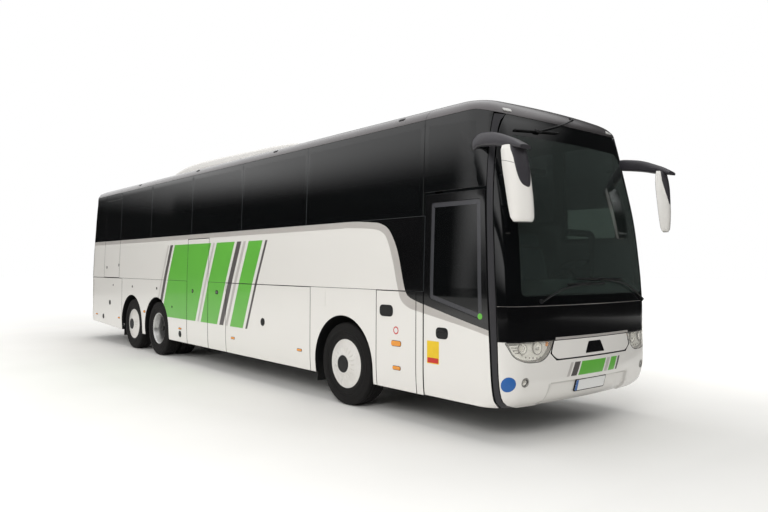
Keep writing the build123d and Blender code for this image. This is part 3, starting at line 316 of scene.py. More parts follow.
def onRear(a, b, deep):
    x, y = around(planAt(b)["mid2"] + abs(a), b, deep)
    return x, math.copysign(y, a), b


def runOf(station, z):
    p = planAt(z)
    if station > p["c1"]:
        return p["c1"] + body["frontCorner"] * math.asin(min(1.0, (station - p["c1"]) / body["frontCorner"]))
    if station < p["c2"]:
        return p["c2"] - body["rearCorner"] * math.asin(min(1.0, (p["c2"] - station) / body["rearCorner"]))
    return station


def acrossOf(y, z, rear=False):
    # distance round the front (or rear) face from its centre line, for a distance y from the centre plane
    p = planAt(z)
    crown, corner, angle = ("rearCrown", "rearCorner", "a2") if rear else ("frontCrown", "frontCorner", "a1")
    k, r, a = body[crown], body[corner], p[angle]
    if abs(y) <= k * math.sin(a):
        return math.copysign(k * math.asin(abs(y) / k), y)
    turn = math.acos(min(1.0, (abs(y) - p["half"] + r) / r))
    return math.copysign(k * a + r * (math.pi / 2 - a - turn), y)


def seamLine(points):
    def at(z):
        for (s0, z0), (s1, z1) in zip(points, points[1:]):
            if z <= z1 or (s1, z1) == points[-1]:
                return s0 + (s1 - s0) * (z - z0) / (z1 - z0)
    return at


screenSeam = seamLine([(2490.0, 300.0), (2455.0, 1390.0), (2320.0, 3140.0), (2300.0, 3500.0)])
postBack = seamLine([(2440.0, 300.0), (2308.0, 2480.0), (2262.0, 3500.0)])


def roofLow(station):
    if station <= 2150:
        return body["glassTop"]
    return max(body["screenTop"], body["glassTop"] - (station - 2150) / 270 * 69)


def skirtLow(station):
    if station > -8599:
        return 335 + (2700 - station) / 11299 * 15
    return 350 + (-8599 - station) / 1961 * 102


# Mesh making
def newShape():
    return {"verts": [], "faces": [], "slots": [], "mats": [], "normals": []}


def addFaces(shape, verts, faces, material, normals=None):
    start = len(shape["verts"])
    shape["verts"].extend(verts)
    if material not in shape["mats"]:
        shape["mats"].append(material)
    index = shape["mats"].index(material)
    for face in faces:
        shape["faces"].append([start + i for i in face])
        shape["slots"].append(index)
        shape["normals"].append([normals[i] for i in face] if normals else None)


def makePiece(name, shape, bodyName, replaced=(), sharp=35):
    mesh = bpy.data.meshes.new(name)
    points = [((axleX + x) * mm, y * mm, z * mm) for x, y, z in shape["verts"]]
    mesh.from_pydata(points, [], shape["faces"])
    for material in shape["mats"]:
        mesh.materials.append(material)
    mesh.polygons.foreach_set("material_index", shape["slots"])
    mesh.polygons.foreach_set("use_smooth", [True] * len(mesh.polygons))
    mesh.set_sharp_from_angle(angle=math.radians(sharp))
    if any(n for n in shape["normals"]):
        split = []
        for face, normals in zip(shape["faces"], shape["normals"]):
            split.extend(normals if normals else [(0, 0, 0)] * len(face))
        mesh.normals_split_custom_set(split)
    mesh.update()
    piece = bpy.data.objects.new(name, mesh)
    bpy.context.scene.collection.objects.link(piece)
    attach(piece, bodyName)
    if replaced:
        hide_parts(*replaced)
    return piece


def dense(loop, step=45.0, closed=True):
    points = []
    pairs = list(zip(loop, loop[1:] + loop[:1])) if closed else list(zip(loop, loop[1:]))
    for (a0, b0), (a1, b1) in pairs:
        count = max(1, math.ceil(math.hypot(a1 - a0, b1 - b0) / step))
        for k in range(count):
            points.append((a0 + (a1 - a0) * k / count, b0 + (b1 - b0) * k / count))
    return points


def rounded(loop, radius, steps=5):
    # each corner of a loop swapped for an arc-like curve
    radii = radius if isinstance(radius, (list, tuple)) else [radius] * len(loop)
    out = []
    for i, (x, y) in enumerate(loop):
        px, py = loop[i - 1]
        nx, ny = loop[(i + 1) % len(loop)]
        lp, ln = math.hypot(px - x, py - y), math.hypot(nx - x, ny - y)
        r = min(radii[i], lp * 0.45, ln * 0.45)
        if r < 0.5:
            out.append((x, y))
            continue
        ax, ay = x + (px - x) / lp * r, y + (py - y) / lp * r
        bx, by = x + (nx - x) / ln * r, y + (ny - y) / ln * r
        for k in range(steps + 1):
            u = k / steps
            out.append(((1 - u) ** 2 * ax + 2 * u * (1 - u) * x + u ** 2 * bx,
                        (1 - u) ** 2 * ay + 2 * u * (1 - u) * y + u ** 2 * by))
    return out


def area(loop):
    return sum(a0 * b1 - a1 * b0 for (a0, b0), (a1, b1) in zip(loop, loop[1:] + loop[:1])) / 2


def anticlockwise(loop):
    return loop if area(loop) > 0 else loop[::-1]


def rect(a0, b0, a1, b1):
    return [(a0, b0), (a1, b0), (a1, b1), (a0, b1)]


def shifted(loop, distance):
    # the loop moved to its left by a distance: inwards for an anticlockwise loop
    out = []
    n = len(loop)
    for i in range(n):
        (x0, y0), (x1, y1), (x2, y2) = loop[i - 1], loop[i], loop[(i + 1) % n]
        d0, d1 = math.hypot(x1 - x0, y1 - y0) or 1, math.hypot(x2 - x1, y2 - y1) or 1
        nx = -(y1 - y0) / d0 - (y2 - y1) / d1
        ny = (x1 - x0) / d0 + (x2 - x1) / d1
        size = math.hypot(nx, ny) or 1
        grow = distance * min(2 / size, 1.6)
        out.append((x1 + nx / size * grow, y1 + ny / size * grow))
    return out


def within(points, loop):
    x, y = points[:, 0], points[:, 1]
    inside = np.zeros(len(points), bool)
    for (x0, y0), (x1, y1) in zip(loop, loop[1:] + loop[:1]):
        if y0 == y1:
            continue
        crosses = ((y0 > y) != (y1 > y)) & (x < (x1 - x0) * (y - y0) / (y1 - y0) + x0)
        inside ^= crosses
    return inside


def span(low, high, step):
    count = max(1, math.ceil((high - low) / step))
    return [low + (high - low) * k / count for k in range(1, count)]


def panel(shape, surface, outline, thick, material, back=None, holes=(), films=(), step=(150.0, 70.0),
          edge=2.0, deep=0.0, creases=(), through=False):
    # a sheet that follows the body: an outline with holes, cut films on its face and a rounded rim
    back = back or material
    ring = anticlockwise(dense(outline))
    cuts = [dense(h) for h in holes]
    cuts = [c[::-1] if area(c) > 0 else c for c in cuts]
    loops = [shifted(loop, edge) for loop in [ring] + cuts]
    lowA, highA = min(a for a, b in ring), max(a for a, b in ring)
    lowB, highB = min(b for a, b in ring), max(b for a, b in ring)
    marks = []
    for loop, paint in films:
        if min(a for a, b in loop) < highA and max(a for a, b in loop) > lowA:
            if min(b for a, b in loop) < highB and max(b for a, b in loop) > lowB:
                marks.append((dense(loop, 60.0), paint))
    verts, edges = [], []
    for loop in loops + [m[0] for m in marks] + [dense(c, 40.0) for c in creases]:
        start = len(verts)
        verts.extend(loop)
        edges.extend((start + i, start + (i + 1) % len(loop)) for i in range(len(loop)))
    grid = np.array([(a, b) for a in span(lowA, highA, step[0]) for b in span(lowB, highB, step[1])]
                    or [(0.0, 0.0)], float)
    keep = within(grid, loops[0])
    for cut in loops[1:]:
        keep &= ~within(grid, cut)
    grid = grid[keep]
    if len(grid):
        fixed = np.array(verts, float)
        gap = min(step) * 0.4
        near = np.array([np.min(np.abs(fixed[:, 0] - a) + np.abs(fixed[:, 1] - b)) < gap for a, b in grid])
        verts.extend(map(tuple, grid[~near]))
    meshed = geometry.delaunay_2d_cdt(
        [(float(a - lowA), float(b - lowB)) for a, b in verts], edges, [], 0, 1e-4)
    flat = np.array([(p[0] + lowA, p[1] + lowB) for p in meshed[0]], float)
    tri = np.array(meshed[2], int)
    middle = flat[tri].mean(axis=1)
    keep = within(middle, loops[0])
    for cut in loops[1:]:
        keep &= ~within(middle, cut)
    tri, middle = tri[keep], middle[keep]
    used = np.unique(tri)
    renumber = -np.ones(len(flat), int)
    renumber[used] = np.arange(len(used))
    flat, tri = flat[used], renumber[tri]
    cross = np.cross(flat[tri[:, 1]] - flat[tri[:, 0]], flat[tri[:, 2]] - flat[tri[:, 0]])
    tri[cross < 0] = tri[cross < 0][:, ::-1]
    paints = [material] * len(tri)
    for loop, paint in marks:
        for i in np.flatnonzero(within(middle, loop)):
            paints[i] = paint
    directed = {(int(t[i]), int(t[(i + 1) % 3])) for t in tri for i in range(3)}
    rim = [(i, j) for i, j in directed if (j, i) not in directed]
    outward = {}
    for i, j in rim:
        d = flat[j] - flat[i]
        d = np.array([d[1], -d[0]]) / (np.hypot(*d) or 1)
        for v in (i, j):
            outward.setdefault(v, []).append(d)
    pushed = flat.copy()
    for v, many in outward.items():
        total = np.sum(many, axis=0)
        size = np.hypot(*total) or 1
        pushed[v] += total / size * edge * min(len(many) / size, 1.6)
    face = [surface(a, b, deep) for a, b in flat]
    lip = {v: surface(*pushed[v], deep + edge * 0.7) for v in outward}
    rear = [surface(a, b, deep + thick) for a, b in pushed]
    normals = []
    sign = None
    for (a, b), p in zip(flat, face):
        pa, pb, pd = surface(a + 3, b, deep), surface(a, b + 3, deep), surface(a, b, deep + 3)
        n = np.cross(np.subtract(pa, p), np.subtract(pb, p))
        if sign is None:
            sign = -1 if np.dot(n, np.subtract(pd, p)) > 0 else 1
        n = n * sign / (np.linalg.norm(n) or 1)
        normals.append(tuple(n))

    def order(corners):
        return list(corners)[::sign]

    for paint in dict.fromkeys(paints):
        addFaces(shape, face, [order(t) for t, p in zip(tri.tolist(), paints) if p is paint], paint, normals)
    if through:                                      # glass: the films go right through the pane
        for paint in dict.fromkeys(paints):
            addFaces(shape, rear, [order(t)[::-1] for t, p in zip(tri.tolist(), paints) if p is paint],
                     paint)
    else:
        addFaces(shape, rear, [order(t)[::-1] for t in tri.tolist()], back)
    rimVerts, rimFaces, index = [], [], {}
    for v in outward:
        index[v] = len(rimVerts)
        rimVerts += [face[v], lip[v], rear[v]]
    for i, j in rim:
        a, b = index[i], index[j]
        rimFaces += [order([a, a + 1, b + 1, b]), order([a + 1, a + 2, b + 2, b + 1])]
    addFaces(shape, rimVerts, rimFaces, back)


def strip(shape, rows, material, closed=False, loop=False):
    # quads between rows of points; loop joins each row's ends, closed joins the last row to the first
    verts = [p for row in rows for p in row]
    n = len(rows[0])
    faces = []
    count = len(rows) if closed else len(rows) - 1
    for i in range(count):
        j = (i + 1) % len(rows)
        for k in range(n if loop else n - 1):
            m = (k + 1) % n
            faces.append([i * n + k, j * n + k, j * n + m, i * n + m])
    addFaces(shape, verts, faces, material)


def box(shape, low, high, material, bevel=3.0):
    # a block with chamfered edges
    cx, cy, cz = [(a + b) / 2 for a, b in zip(low, high)]
    hx, hy, hz = [(b - a) / 2 for a, b in zip(low, high)]
    c = min(bevel, hx * 0.9, hy * 0.9, hz * 0.9)
    verts, index = [], {}
    for sx in (-1, 1):
        for sy in (-1, 1):
            for sz in (-1, 1):
                for axis in range(3):
                    p = [sx * hx, sy * hy, sz * hz]
                    for k in range(3):
                        if k != axis:
                            p[k] -= c * (sx, sy, sz)[k]
                    index[(sx, sy, sz, axis)] = len(verts)
                    verts.append((cx + p[0], cy + p[1], cz + p[2]))
    faces = []
    for axis in range(3):
        u, v = [k for k in range(3) if k != axis]
        for s in (-1, 1):
            quad = []
            for a, b in ((-1, -1), (1, -1), (1, 1), (-1, 1)):
                key = [0, 0, 0]
                key[axis], key[u], key[v] = s, a, b
                quad.append(index[(*key, axis)])
            faces.append(quad)
        for su in (-1, 1):
            for sv in (-1, 1):
                ends = []
                for s in (-1, 1):
                    key = [0, 0, 0]
                    key[axis], key[u], key[v] = s, su, sv
                    ends.append((index[(*key, u)], index[(*key, v)]))
                faces.append([ends[0][0], ends[0][1], ends[1][1], ends[1][0]])
    for sx in (-1, 1):
        for sy in (-1, 1):
            for sz in (-1, 1):
                faces.append([index[(sx, sy, sz, k)] for k in range(3)])
    points = np.array(verts)
    centre = np.array([cx, cy, cz])
    fixed = []
    for f in faces:
        p = points[f]
        n = np.cross(p[1] - p[0], p[2] - p[0])
        fixed.append(f if np.dot(n, p.mean(axis=0) - centre) > 0 else f[::-1])
    addFaces(shape, verts, fixed, material)


def lathe(shape, profile, centre, axis, material, turns=48, start=0.0):
    # profile of (along the axis, radius) turned about a line through the centre
    axis = np.array(axis, float) / np.linalg.norm(axis)
    side = np.cross(axis, (0, 0, 1.0))
    side = np.array([1.0, 0, 0]) if np.linalg.norm(side) < 1e-6 else side / np.linalg.norm(side)
    up = np.cross(side, axis)
    rows = []
    for k in range(turns):
        t = start + 2 * math.pi * k / turns
        ray = side * math.sin(t) + up * math.cos(t)
        rows.append([tuple(np.array(centre) + axis * a + ray * r) for a, r in profile])
    strip(shape, rows, material, closed=True)


def tube(shape, path, radius, material, sides=10, flat=1.0):
    # a round bar along a smooth path, with closed ends
    pts = [np.array(p, float) for p in path]
    rows = []
    up = np.array([0, 0, 1.0])
    for i, p in enumerate(pts):
        d = pts[min(i + 1, len(pts) - 1)] - pts[max(i - 1, 0)]
        d = d / np.linalg.norm(d)
        side = np.cross(d, up)
        side = np.array([0, 1.0, 0]) if np.linalg.norm(side) < 1e-3 else side / np.linalg.norm(side)
        over = np.cross(side, d)
        r = radius[i] if isinstance(radius, (list, tuple)) else radius
        rows.append([tuple(p + side * r * math.cos(t) + over * r * flat * math.sin(t))
                     for t in (2 * math.pi * k / sides for k in range(sides))])
    strip(shape, rows, material, loop=True)
    for row, order in ((rows[0], 1), (rows[-1], -1)):
        addFaces(shape, row, [list(range(sides))[::order]], material)


print("body form ready")

# Livery
# The bars are a plain pattern: start station at the foot, width, finish
livery = {"foot": 760.0, "head": 2085.0, "lean": 0.42, "bandSill": 2172.0,
          "bars": [(-6080, 55, lightFilm), (-5960, 120, darkFilm), (-5760, 1500, greenFilm),
                   (-4180, 60, lightFilm),
                   (-4050, 620, greenFilm), (-3350, 140, darkFilm), (-3140, 75, lightFilm),
                   (-2980, 420, greenFilm), (-2480, 60, darkFilm)]}
bandTop = [(13, 2251), (316, 2241), (560, 2222), (696, 2204), (842, 2140), (953, 2006), (1037, 1836),
           (1106, 1614),
           (1161, 1450), (1227, 1375), (1404, 1318), (1466, 1304), (1995, 1178), (2366, 1096), (2470, 1072)]
bandLow = [(17, 2176), (551, 2146), (755, 2092), (849, 1986), (946, 1758), (1026, 1501), (1094, 1337),
           (1228, 1255), (1404, 1221), (1467, 1209), (1995, 1118), (2379, 1039), (2470, 1018)]


def smooth(points, parts=5):
    # a curve through the points
    out = []
    pts = [points[0]] + list(points) + [points[-1]]
    for p0, p1, p2, p3 in zip(pts, pts[1:], pts[2:], pts[3:]):
        for k in range(parts):
            u = k / parts
            out.append(tuple(0.5 * (2 * b + (c - a) * u + (2 * a - 5 * b + 4 * c - d) * u * u
                                    + (3 * b - a - 3 * c + d) * u ** 3)
                             for a, b, c, d in zip(p0, p1, p2, p3)))
    return out + [points[-1]]


topLine, lowLine = smooth(bandTop), smooth(bandLow)
blackZone = topLine + [(2600, 1050), (2600, 3400), (13, 3400)]
bandZone = ([(-10600, livery["bandSill"]), (-40, livery["bandSill"])] + lowLine + topLine[::-1]
            + [(-10600, 2251)])
films = [(blackZone, blackFilm), (bandZone, silverFilm)]
for start, width, paint in livery["bars"]:
    rise = (livery["head"] - livery["foot"]) * livery["lean"]
    films.append(([(start, livery["foot"]), (start + width, livery["foot"]),
                   (start + width + rise, livery["head"]), (start + rise, livery["head"])], paint))


def panelRun(points):
    # outline of stations and heights, unrolled round the front corner
    return [(runOf(s, z), z) for s, z in dense(points, 60.0)]


def archOutline(s0, s1, top, wheels):
    # a lower panel from s0 to s1 with wheel openings in its lower edge
    low = [(s0, skirtLow(s0))]
    r, mid = body["archRadius"], body["tyreRadius"]
    for w in wheels:
        arc = [(w - r * math.cos(t), mid + r * math.sin(t)) for t in (math.pi * k / 30 for k in range(31))]
        if w - r > s0:
            low += [(w - r + 2, skirtLow(w - r)), (w - r, mid)]
        low += [point for point in arc if s0 < point[0] < s1]
        if w + r < s1:
            low.append((w + r - 2, skirtLow(w + r)))
    return low + [(s1, skirtLow(s1)), (s1, top), (s0, top)]


# Lower panels, walls and flaps
wheelsAt = {"front": 0.0, "drive": -6020.0, "tag": -7365.0, "single": 1087.0, "twinOuter": 1097.0,
            "twinInner": 767.0}
rearWheels = [wheelsAt["tag"], wheelsAt["drive"]]
tailSeam, doorPillar = -9995, 1420                   # where the side walls end
paneSeams = [-6390, -4500, -2670, -860, doorPillar]
waistTop, waistLow = body["waist"] + 4, body["waist"] - 2
for side, hand in ((-1, "Right"), (1, "Left")):
    surface = onSide(side)
    shape = newShape()
    if side < 0:
        fixed = [(-715, 660, [wheelsAt["front"]]), (1340, 1452, []), (-3772, -3125, []),
                 (-7960, -4618, rearWheels), (tailSeam, -9960, [])]
    else:
        fixed = [(-715, 660, [wheelsAt["front"]]), (660, 2436, []), (-7960, -5380, rearWheels),
                 (tailSeam, -9960, [])]
    for s0, s1, wheels in fixed:
        outline = archOutline(s0 + 3, s1 - 3, waistTop, wheels)
        if s1 > 2300:
            outline = panelRun(outline)
        panel(shape, surface, outline, body["wall"], coachWhite, absBlack, films=films, step=(160, 45))
    makePiece("lowerPanels" + hand, shape, "coach", ["lower_panels"])

    flaps = [("luggage_flap_right", -3125, -715), ("service_flap_right", 660, 1340),
             ("engine_flap_right", -9960, -7960)] if side < 0 else [
             ("luggage_flap_left_front", -3125, -715), ("luggage_flap_left_rear", -5380, -3125),
             ("engine_flap_left", -9960, -7960)]
    for node, s0, s1 in flaps:
        shape = newShape()
        outline = [(s0 + 4, skirtLow(s0)), (s1 - 4, skirtLow(s1)), (s1 - 4, waistLow), (s0 + 4, waistLow)]
        holes = []
        if node == "engine_flap_left":
            holes = [rounded(rect(-9790, 770 + 64 * k, -8560, 802 + 64 * k), 14) for k in range(9)]
        panel(shape, surface, outline, body["leaf"], coachWhite, absBlack, holes=holes, films=films,
              step=(160, 45))
        makePiece(node.replace("_", "") + "Panel", shape, node, [node])

    # upper side wall, with the window frames behind the bonded glass
    shape = newShape()
    z0, z1 = body["waist"] + 6, body["sill"]
    if side < 0:
        walls = [rect(tailSeam, z0, -9158, z1),
                 [(-8142, z0), (-4618, z0), (-4618, 2173), (-3772, 2173), (-3772, z0), (1455, z0),
                  (1455, z1), (-8142, z1)]]
    else:
        walls = [[(tailSeam, z0), (2436, z0), (2428, 1700), (2419, 2000), (doorPillar, 2000),
                  (doorPillar, z1), (tailSeam, z1)]]
    for outline in walls:
        panel(shape, surface, panelRun(outline), body["wall"], coachWhite, absGrey, films=films,
              step=(160, 90))
    edges = [tailSeam, -9205, -8095] + paneSeams + [2250]
    frames = [rect(tailSeam, 2252, -9158, 3300), rect(-8142, 2252, doorPillar, 3300),
              [(doorPillar, 2500), (2270, 2500), (2250, 3250), (doorPillar, 3290)]]
    if side > 0:
        frames = [rect(tailSeam, 2252, doorPillar, 3300),
                  [(doorPillar, 2003), (2320, 2003), (2250, 3250), (doorPillar, 3290)]]
    for outline in frames:
        lowS, highS = outline[0][0], outline[1][0]
        holes = []
        for a, b in zip(edges, edges[1:]):
            if a + 1 >= lowS - 60 and b <= highS + 60 and b - a > 400:
                bottom = outline[0][1] + 60
                right = min(b - 55, highS - 110)
                holes.append(rounded([(max(a + 55, lowS + 50), bottom), (right, bottom), (right, 3200),
                                      (max(a + 55, lowS + 50), 3200)], 40))
        panel(shape, surface, outline, body["wall"] - body["glass"] - 1, absBlack, absBlack, holes=holes,
              step=(200, 90), deep=body["glass"] + 0.5)
    makePiece("sideWallPanel" + hand, shape, "coach", ["side_wall_" + hand.lower()])

# Bonded glass
midPanes = list(zip(paneSeams, paneSeams[1:]))
glassEdges = {"right": [(tailSeam, -9158), (-8135, paneSeams[0])] + midPanes,
              "left": [(tailSeam, -8150), (-8150, paneSeams[0])] + midPanes}
shape = newShape()
for side, hand in ((-1, "right"), (1, "left")):
    surface = onSide(side)
    for a, b in glassEdges[hand]:
        outline = rect(a + 2, 2250, b - 2, 3284)
        radii = [4, 4, 4, 4]
        if a == tailSeam:
            radii[0] = 60
        frit = rounded(rect(a + 62, 2318, b - 62, 3205), 45)
        panel(shape, surface, rounded(outline, radii), body["glass"], fritBlack, fritBlack,
              films=[(frit, sideGlass)], step=(170, 80), edge=1.5, through=True)
    low = 2499 if side < 0 else 2002
    top = [(s, roofLow(s)) for s in (2270, 2150)]
    outline = [(1422, low), (postBack(low) - 3, low),
               (postBack(3254) - 3, roofLow(postBack(3254)))] + top[1:] + [(1422, 3284)]
    outline = panelRun(outline)
    inner = panelRun([(1484, low + 70), (postBack(low) - 120, low + 70), (postBack(3180) - 130, 3170),
                      (1484, 3205)])
    clearer = [(inner, sideGlass)]
    if side > 0:
        clearer.append((rounded(panelRun([(1500, 2074), (2190, 2074), (2180, 2440), (1500, 2440)]), 30),
                        driverGlass))
    panel(shape, surface, outline, body["glass"], fritBlack, fritBlack, films=clearer, step=(60, 80),
          edge=1.5, through=True)
    if side < 0:                                     # black header over the emergency door
        header = rect(-9155, 3154, -8138, 3280)
        panel(shape, surface, dense(header, 60.0), body["glass"], fritBlack, fritBlack, step=(160, 70),
              edge=1.5)
makePiece("bondedSideGlass", shape, "coach", ["body_glass"])
print("sides made")

# Doors
door = {"low": 345.0, "back": 1463.0, "front": [(2420.0, 345.0), (2290.0, 2470.0)], "top": 2470.0}
shape = newShape()
surface = onSide(-1)
frontEdge = [(door["front"][0][0] + (door["front"][1][0] - door["front"][0][0]) * k / 24,
              door["low"] + (door["top"] - door["low"]) * k / 24) for k in range(25)]
outline = [(door["back"], door["low"])] + frontEdge + [(door["back"], door["top"])]
pane = [(1550, 1370), (2290, 1190), (2240, 2380), (1550, 2380)]
paneRun = rounded([(runOf(s, z), z) for s, z in pane], 30)
panel(shape, surface, [(runOf(s, z), z) for s, z in outline], body["leaf"], coachWhite, absBlack,
      holes=[paneRun], films=films, step=(90, 45))
makePiece("frontDoorLeaf", shape, "front_door", ["front_door"])
shape = newShape()
panel(shape, surface, shifted(dense(paneRun), 3), 6.0, fritGrey, fritGrey, step=(90, 60), edge=1.2, deep=5.0,
      films=[(shifted(dense(paneRun), 50), sideGlass)], through=True)
makePiece("frontDoorPane", shape, "front_door", ["front_door_glass"])

shape = newShape()
outline = rect(-4610, 345, -3780, 2165)
panel(shape, surface, rounded(outline, 18), body["leaf"], coachWhite, absBlack, films=films, step=(160, 60))
makePiece("middleDoorLeaf", shape, "middle_door", ["middle_door"])

shape = newShape()
outline = rect(-9150, 1449, -8150, 2249)
panel(shape, surface, outline, body["leaf"], coachWhite, absBlack, films=films, step=(160, 70))
outline = rect(-9150, 2251, -8150, 3150)
hole = rounded(rect(-9060, 2330, -8240, 3060), 40)
panel(shape, surface, outline, body["leaf"] - 9, absBlack, absBlack, holes=[hole], step=(160, 70), deep=8.5)
makePiece("emergencyDoorLeaf", shape, "emergency_door", ["emergency_door"])
shape = newShape()
panel(shape, surface, rounded(outline, 25), body["glass"], fritBlack, fritBlack, films=[(hole, sideGlass)],
      step=(160, 70), edge=1.5, through=True)
makePiece("emergencyDoorPane", shape, "emergency_door", ["emergency_door_glass"])
print("doors made")

# Front
front = {"flap": [(-655, 984), (-700, 860), (-620, 800), (620, 800), (700, 860), (655, 984)],
         "lamp": [(668, 985), (706, 900), (775, 822), (860, 790), (1024, 790), (1163, 838), (1222, 985)],
         "lampRound": [16, 40, 60, 60, 60, 60, 16],
         "fogY": 1040.0, "fogZ": 604.0,
         "recessDeep": 27.0}


def seamAcross(z, gap=0.0):
    # how far round the front face the corner seam is at this height
    return planAt(z)["mid1"] - runOf(screenSeam(z) + gap, z)


def faceLoop(points, step, rear=False, side=1, closed=True):
    # points given by y and height, laid on the front or rear face; side -1 mirrors them
    return [(acrossOf(side * y, z, rear), z) for y, z in dense(points, step, closed)]


def faceBand(z0, z1, gap=2.0, rows=12):
    # outline of the front face between two heights, from seam to seam
    zs = [z0 + (z1 - z0) * k / rows for k in range(rows + 1)]
    right = [(-seamAcross(z, gap), z) for z in zs]
    return [(-a, z) for a, z in right] + right[::-1]


def topOfScreen(a):
    z = body["screenTop"]
    for _ in range(3):
        z = roofLow(onFront(a, z, 0)[0])
    return z


top = seamAcross(3241, 2.0)
outline = faceBand(body["screenLow"], 3230, 3.0, 24)
count = len(outline) // 2
across = [top * (1 - 2 * k / 60) for k in range(1, 60)]
outline = outline[:count] + [(a, topOfScreen(a)) for a in across] + outline[count:]
clear = rounded([(-1085, 1425), (1085, 1425), (1060, 2000), (1010, 2940), (930, 3030), (-930, 3030),
                 (-1010, 2940), (-1060, 2000)], 70)
shape = newShape()
panel(shape, onFront, outline, body["glass"], fritBlack, fritBlack, films=[(clear, screenGlass)],
      step=(60, 60), edge=2.0, through=True)
makePiece("windscreenPane", shape, "coach", ["windscreen"]).visible_shadow = False

shape = newShape()
outline = faceBand(body["maskLow"], body["screenLow"] - 5, 3.0)
panel(shape, onFront, outline, 40.0, blackFilm, absBlack, step=(60, 60))
outline = faceBand(body["screenLow"] - 3, 3205, 30.0, 20)
hole = rounded([(-1080, 1440), (1080, 1440), (1000, 3040), (-1000, 3040)], 60)
panel(shape, onFront, outline, body["wall"] - 9, absBlack, absBlack, holes=[hole], step=(70, 90), deep=8.5)
for side in (-1, 1):
    zs = [345 + (3236 - 345) * k / 40 for k in range(41)]
    back = [(runOf(postBack(z) + 1, z), z) for z in zs]
    ahead = [(runOf(screenSeam(z) - 4, z), z) for z in zs]
    panel(shape, onSide(side), back + ahead[::-1], body["wall"], postFilm, absBlack, step=(20, 60))
makePiece("frontMask", shape, "coach", ["front_frame"])


def onBumper(a, b, deep):
    # the front face with the plate's recess pressed in
    y = abs(onFront(a, b, 0)[1])
    edge = 690 + (575 - b) / 275 * 50
    low = min(1.0, max(0.0, (edge - y) / 14)) * min(1.0, max(0.0, (575 - b) / 14))
    ease = low * low * (3 - 2 * low)
    return onFront(a, b, deep + ease * front["recessDeep"])


shape = newShape()
right = faceBand(body["skirt"], 991, 2.0, 16)
count = len(right) // 2
notch = faceLoop([(666, 991), (713, 860), (628, 789)], 40, closed=False) + [(acrossOf(628, 789), 789)]
foot = [(a, body["skirt"]) for a in [seamAcross(335) * (-1 + 2 * k / 50) for k in range(1, 50)]]
outline = right[:count] + notch + [(-a, z) for a, z in notch[::-1]] + right[count:] + foot
holes = []
for side in (-1, 1):
    lampLoop = faceLoop(rounded(front["lamp"], front["lampRound"]), 30, side=side)
    holes.append(shifted(anticlockwise(lampLoop), -3))
    fogAt = (acrossOf(side * front["fogY"], front["fogZ"]), front["fogZ"])
    holes.append([(fogAt[0] + 44 * math.cos(t), fogAt[1] + 44 * math.sin(t))
                  for t in (2 * math.pi * k / 32 for k in range(32))])
recessOut = faceLoop([(-690, 575), (-733, 337), (733, 337), (690, 575)], 40)
recessIn = faceLoop([(-674, 561), (-719, 337), (719, 337), (674, 561)], 40)
frontBars = [(-470, 40, lightFilm), (-405, 90, darkFilm), (-290, 430, greenFilm), (165, 55, lightFilm),
             (245, 120, greenFilm), (390, 36, darkFilm)]
bumperFilms = [([(a, 612), (a + w, 612), (a + w + 62, 752), (a + 62, 752)], paint)
               for a, w, paint in frontBars]
panel(shape, onBumper, outline, body["wall"], coachWhite, absBlack, holes=holes, films=bumperFilms,
      step=(55, 30), creases=[recessOut, recessIn])
makePiece("frontBumperShell", shape, "coach", ["front_bumper"])

shape = newShape()
outline = rounded([(acrossOf(y, z), z) for y, z in front["flap"]], [6, 30, 40, 40, 30, 6])
panel(shape, onFront, outline, 20.0, coachWhite, absBlack, step=(60, 40))
makePiece("frontFlapPanel", shape, "front_flap", ["front_flap"])
print("front made")

# Rear
def rearAcross(z, gap=4.0):
    p = planAt(z)
    return runOf(body["rearSeam"] - gap, z) - p["mid2"]


def rearBand(z0, z1, rows=8):
    zs = [z0 + (z1 - z0) * k / rows for k in range(rows + 1)]
    return [(rearAcross(z), z) for z in zs] + [(-rearAcross(z), z) for z in zs[::-1]]


rear = {"lamp": rect(1010, 800, 1150, 1420)}
shape = newShape()
lampHoles = [faceLoop(rounded(rear["lamp"], 24), 40, True, side) for side in (-1, 1)]
lidEdge = acrossOf(938, 767, True)
lidSide, lidTop = acrossOf(938, 1300, True), acrossOf(938, 1935, True)
notch = [(-lidEdge, 767), (-lidSide, 1300), (-lidTop, 1935), (lidTop, 1935), (lidSide, 1300), (lidEdge, 767)]
outline = rearBand(767, 2249) + notch
holes = [shifted(anticlockwise(h), -3) for h in lampHoles]
panel(shape, onRear, outline, body["wall"], coachWhite, absBlack, holes=holes, step=(90, 70))
panel(shape, onRear, rearBand(2252, 3290), body["wall"] - 9, absBlack, absBlack, step=(90, 90), deep=8.5,
      holes=[faceLoop(rounded(rect(-930, 2330, 930, 3150), 40), 60, True)])
makePiece("rearPanel", shape, "coach", ["rear_wall"])

shape = newShape()
frit = faceLoop(rounded([(-915, 2345), (915, 2345), (900, 3135), (-900, 3135)], 50), 60, True)
panel(shape, onRear, rearBand(2250, 3284), body["glass"], fritBlack, fritBlack, films=[(frit, sideGlass)],
      step=(60, 70), edge=1.5, through=True)
makePiece("rearWindowPane", shape, "coach", ["body_glass"])

shape = newShape()
panel(shape, onRear, rearBand(452, 760), body["wall"], coachWhite, absBlack, step=(60, 40))
makePiece("rearBumperShell", shape, "coach", ["rear_bumper"])

shape = newShape()
outline = faceLoop(rounded(rect(-930, 770, 930, 1928), 20), 60, True)
slots = [faceLoop(rounded(rect(-558, 881 + 62 * k, 558, 905 + 62 * k), 10), 60, True) for k in range(5)]
panel(shape, onRear, outline, body["leaf"], coachWhite, absBlack, holes=slots, step=(90, 70))
makePiece("engineLidPanel", shape, "engine_lid", ["engine_lid"])
print("rear made")

stickerLevels = [(-0.5, 0), (0.6, 0), (0.9, 0.5)]    # thin film, its rim just eased


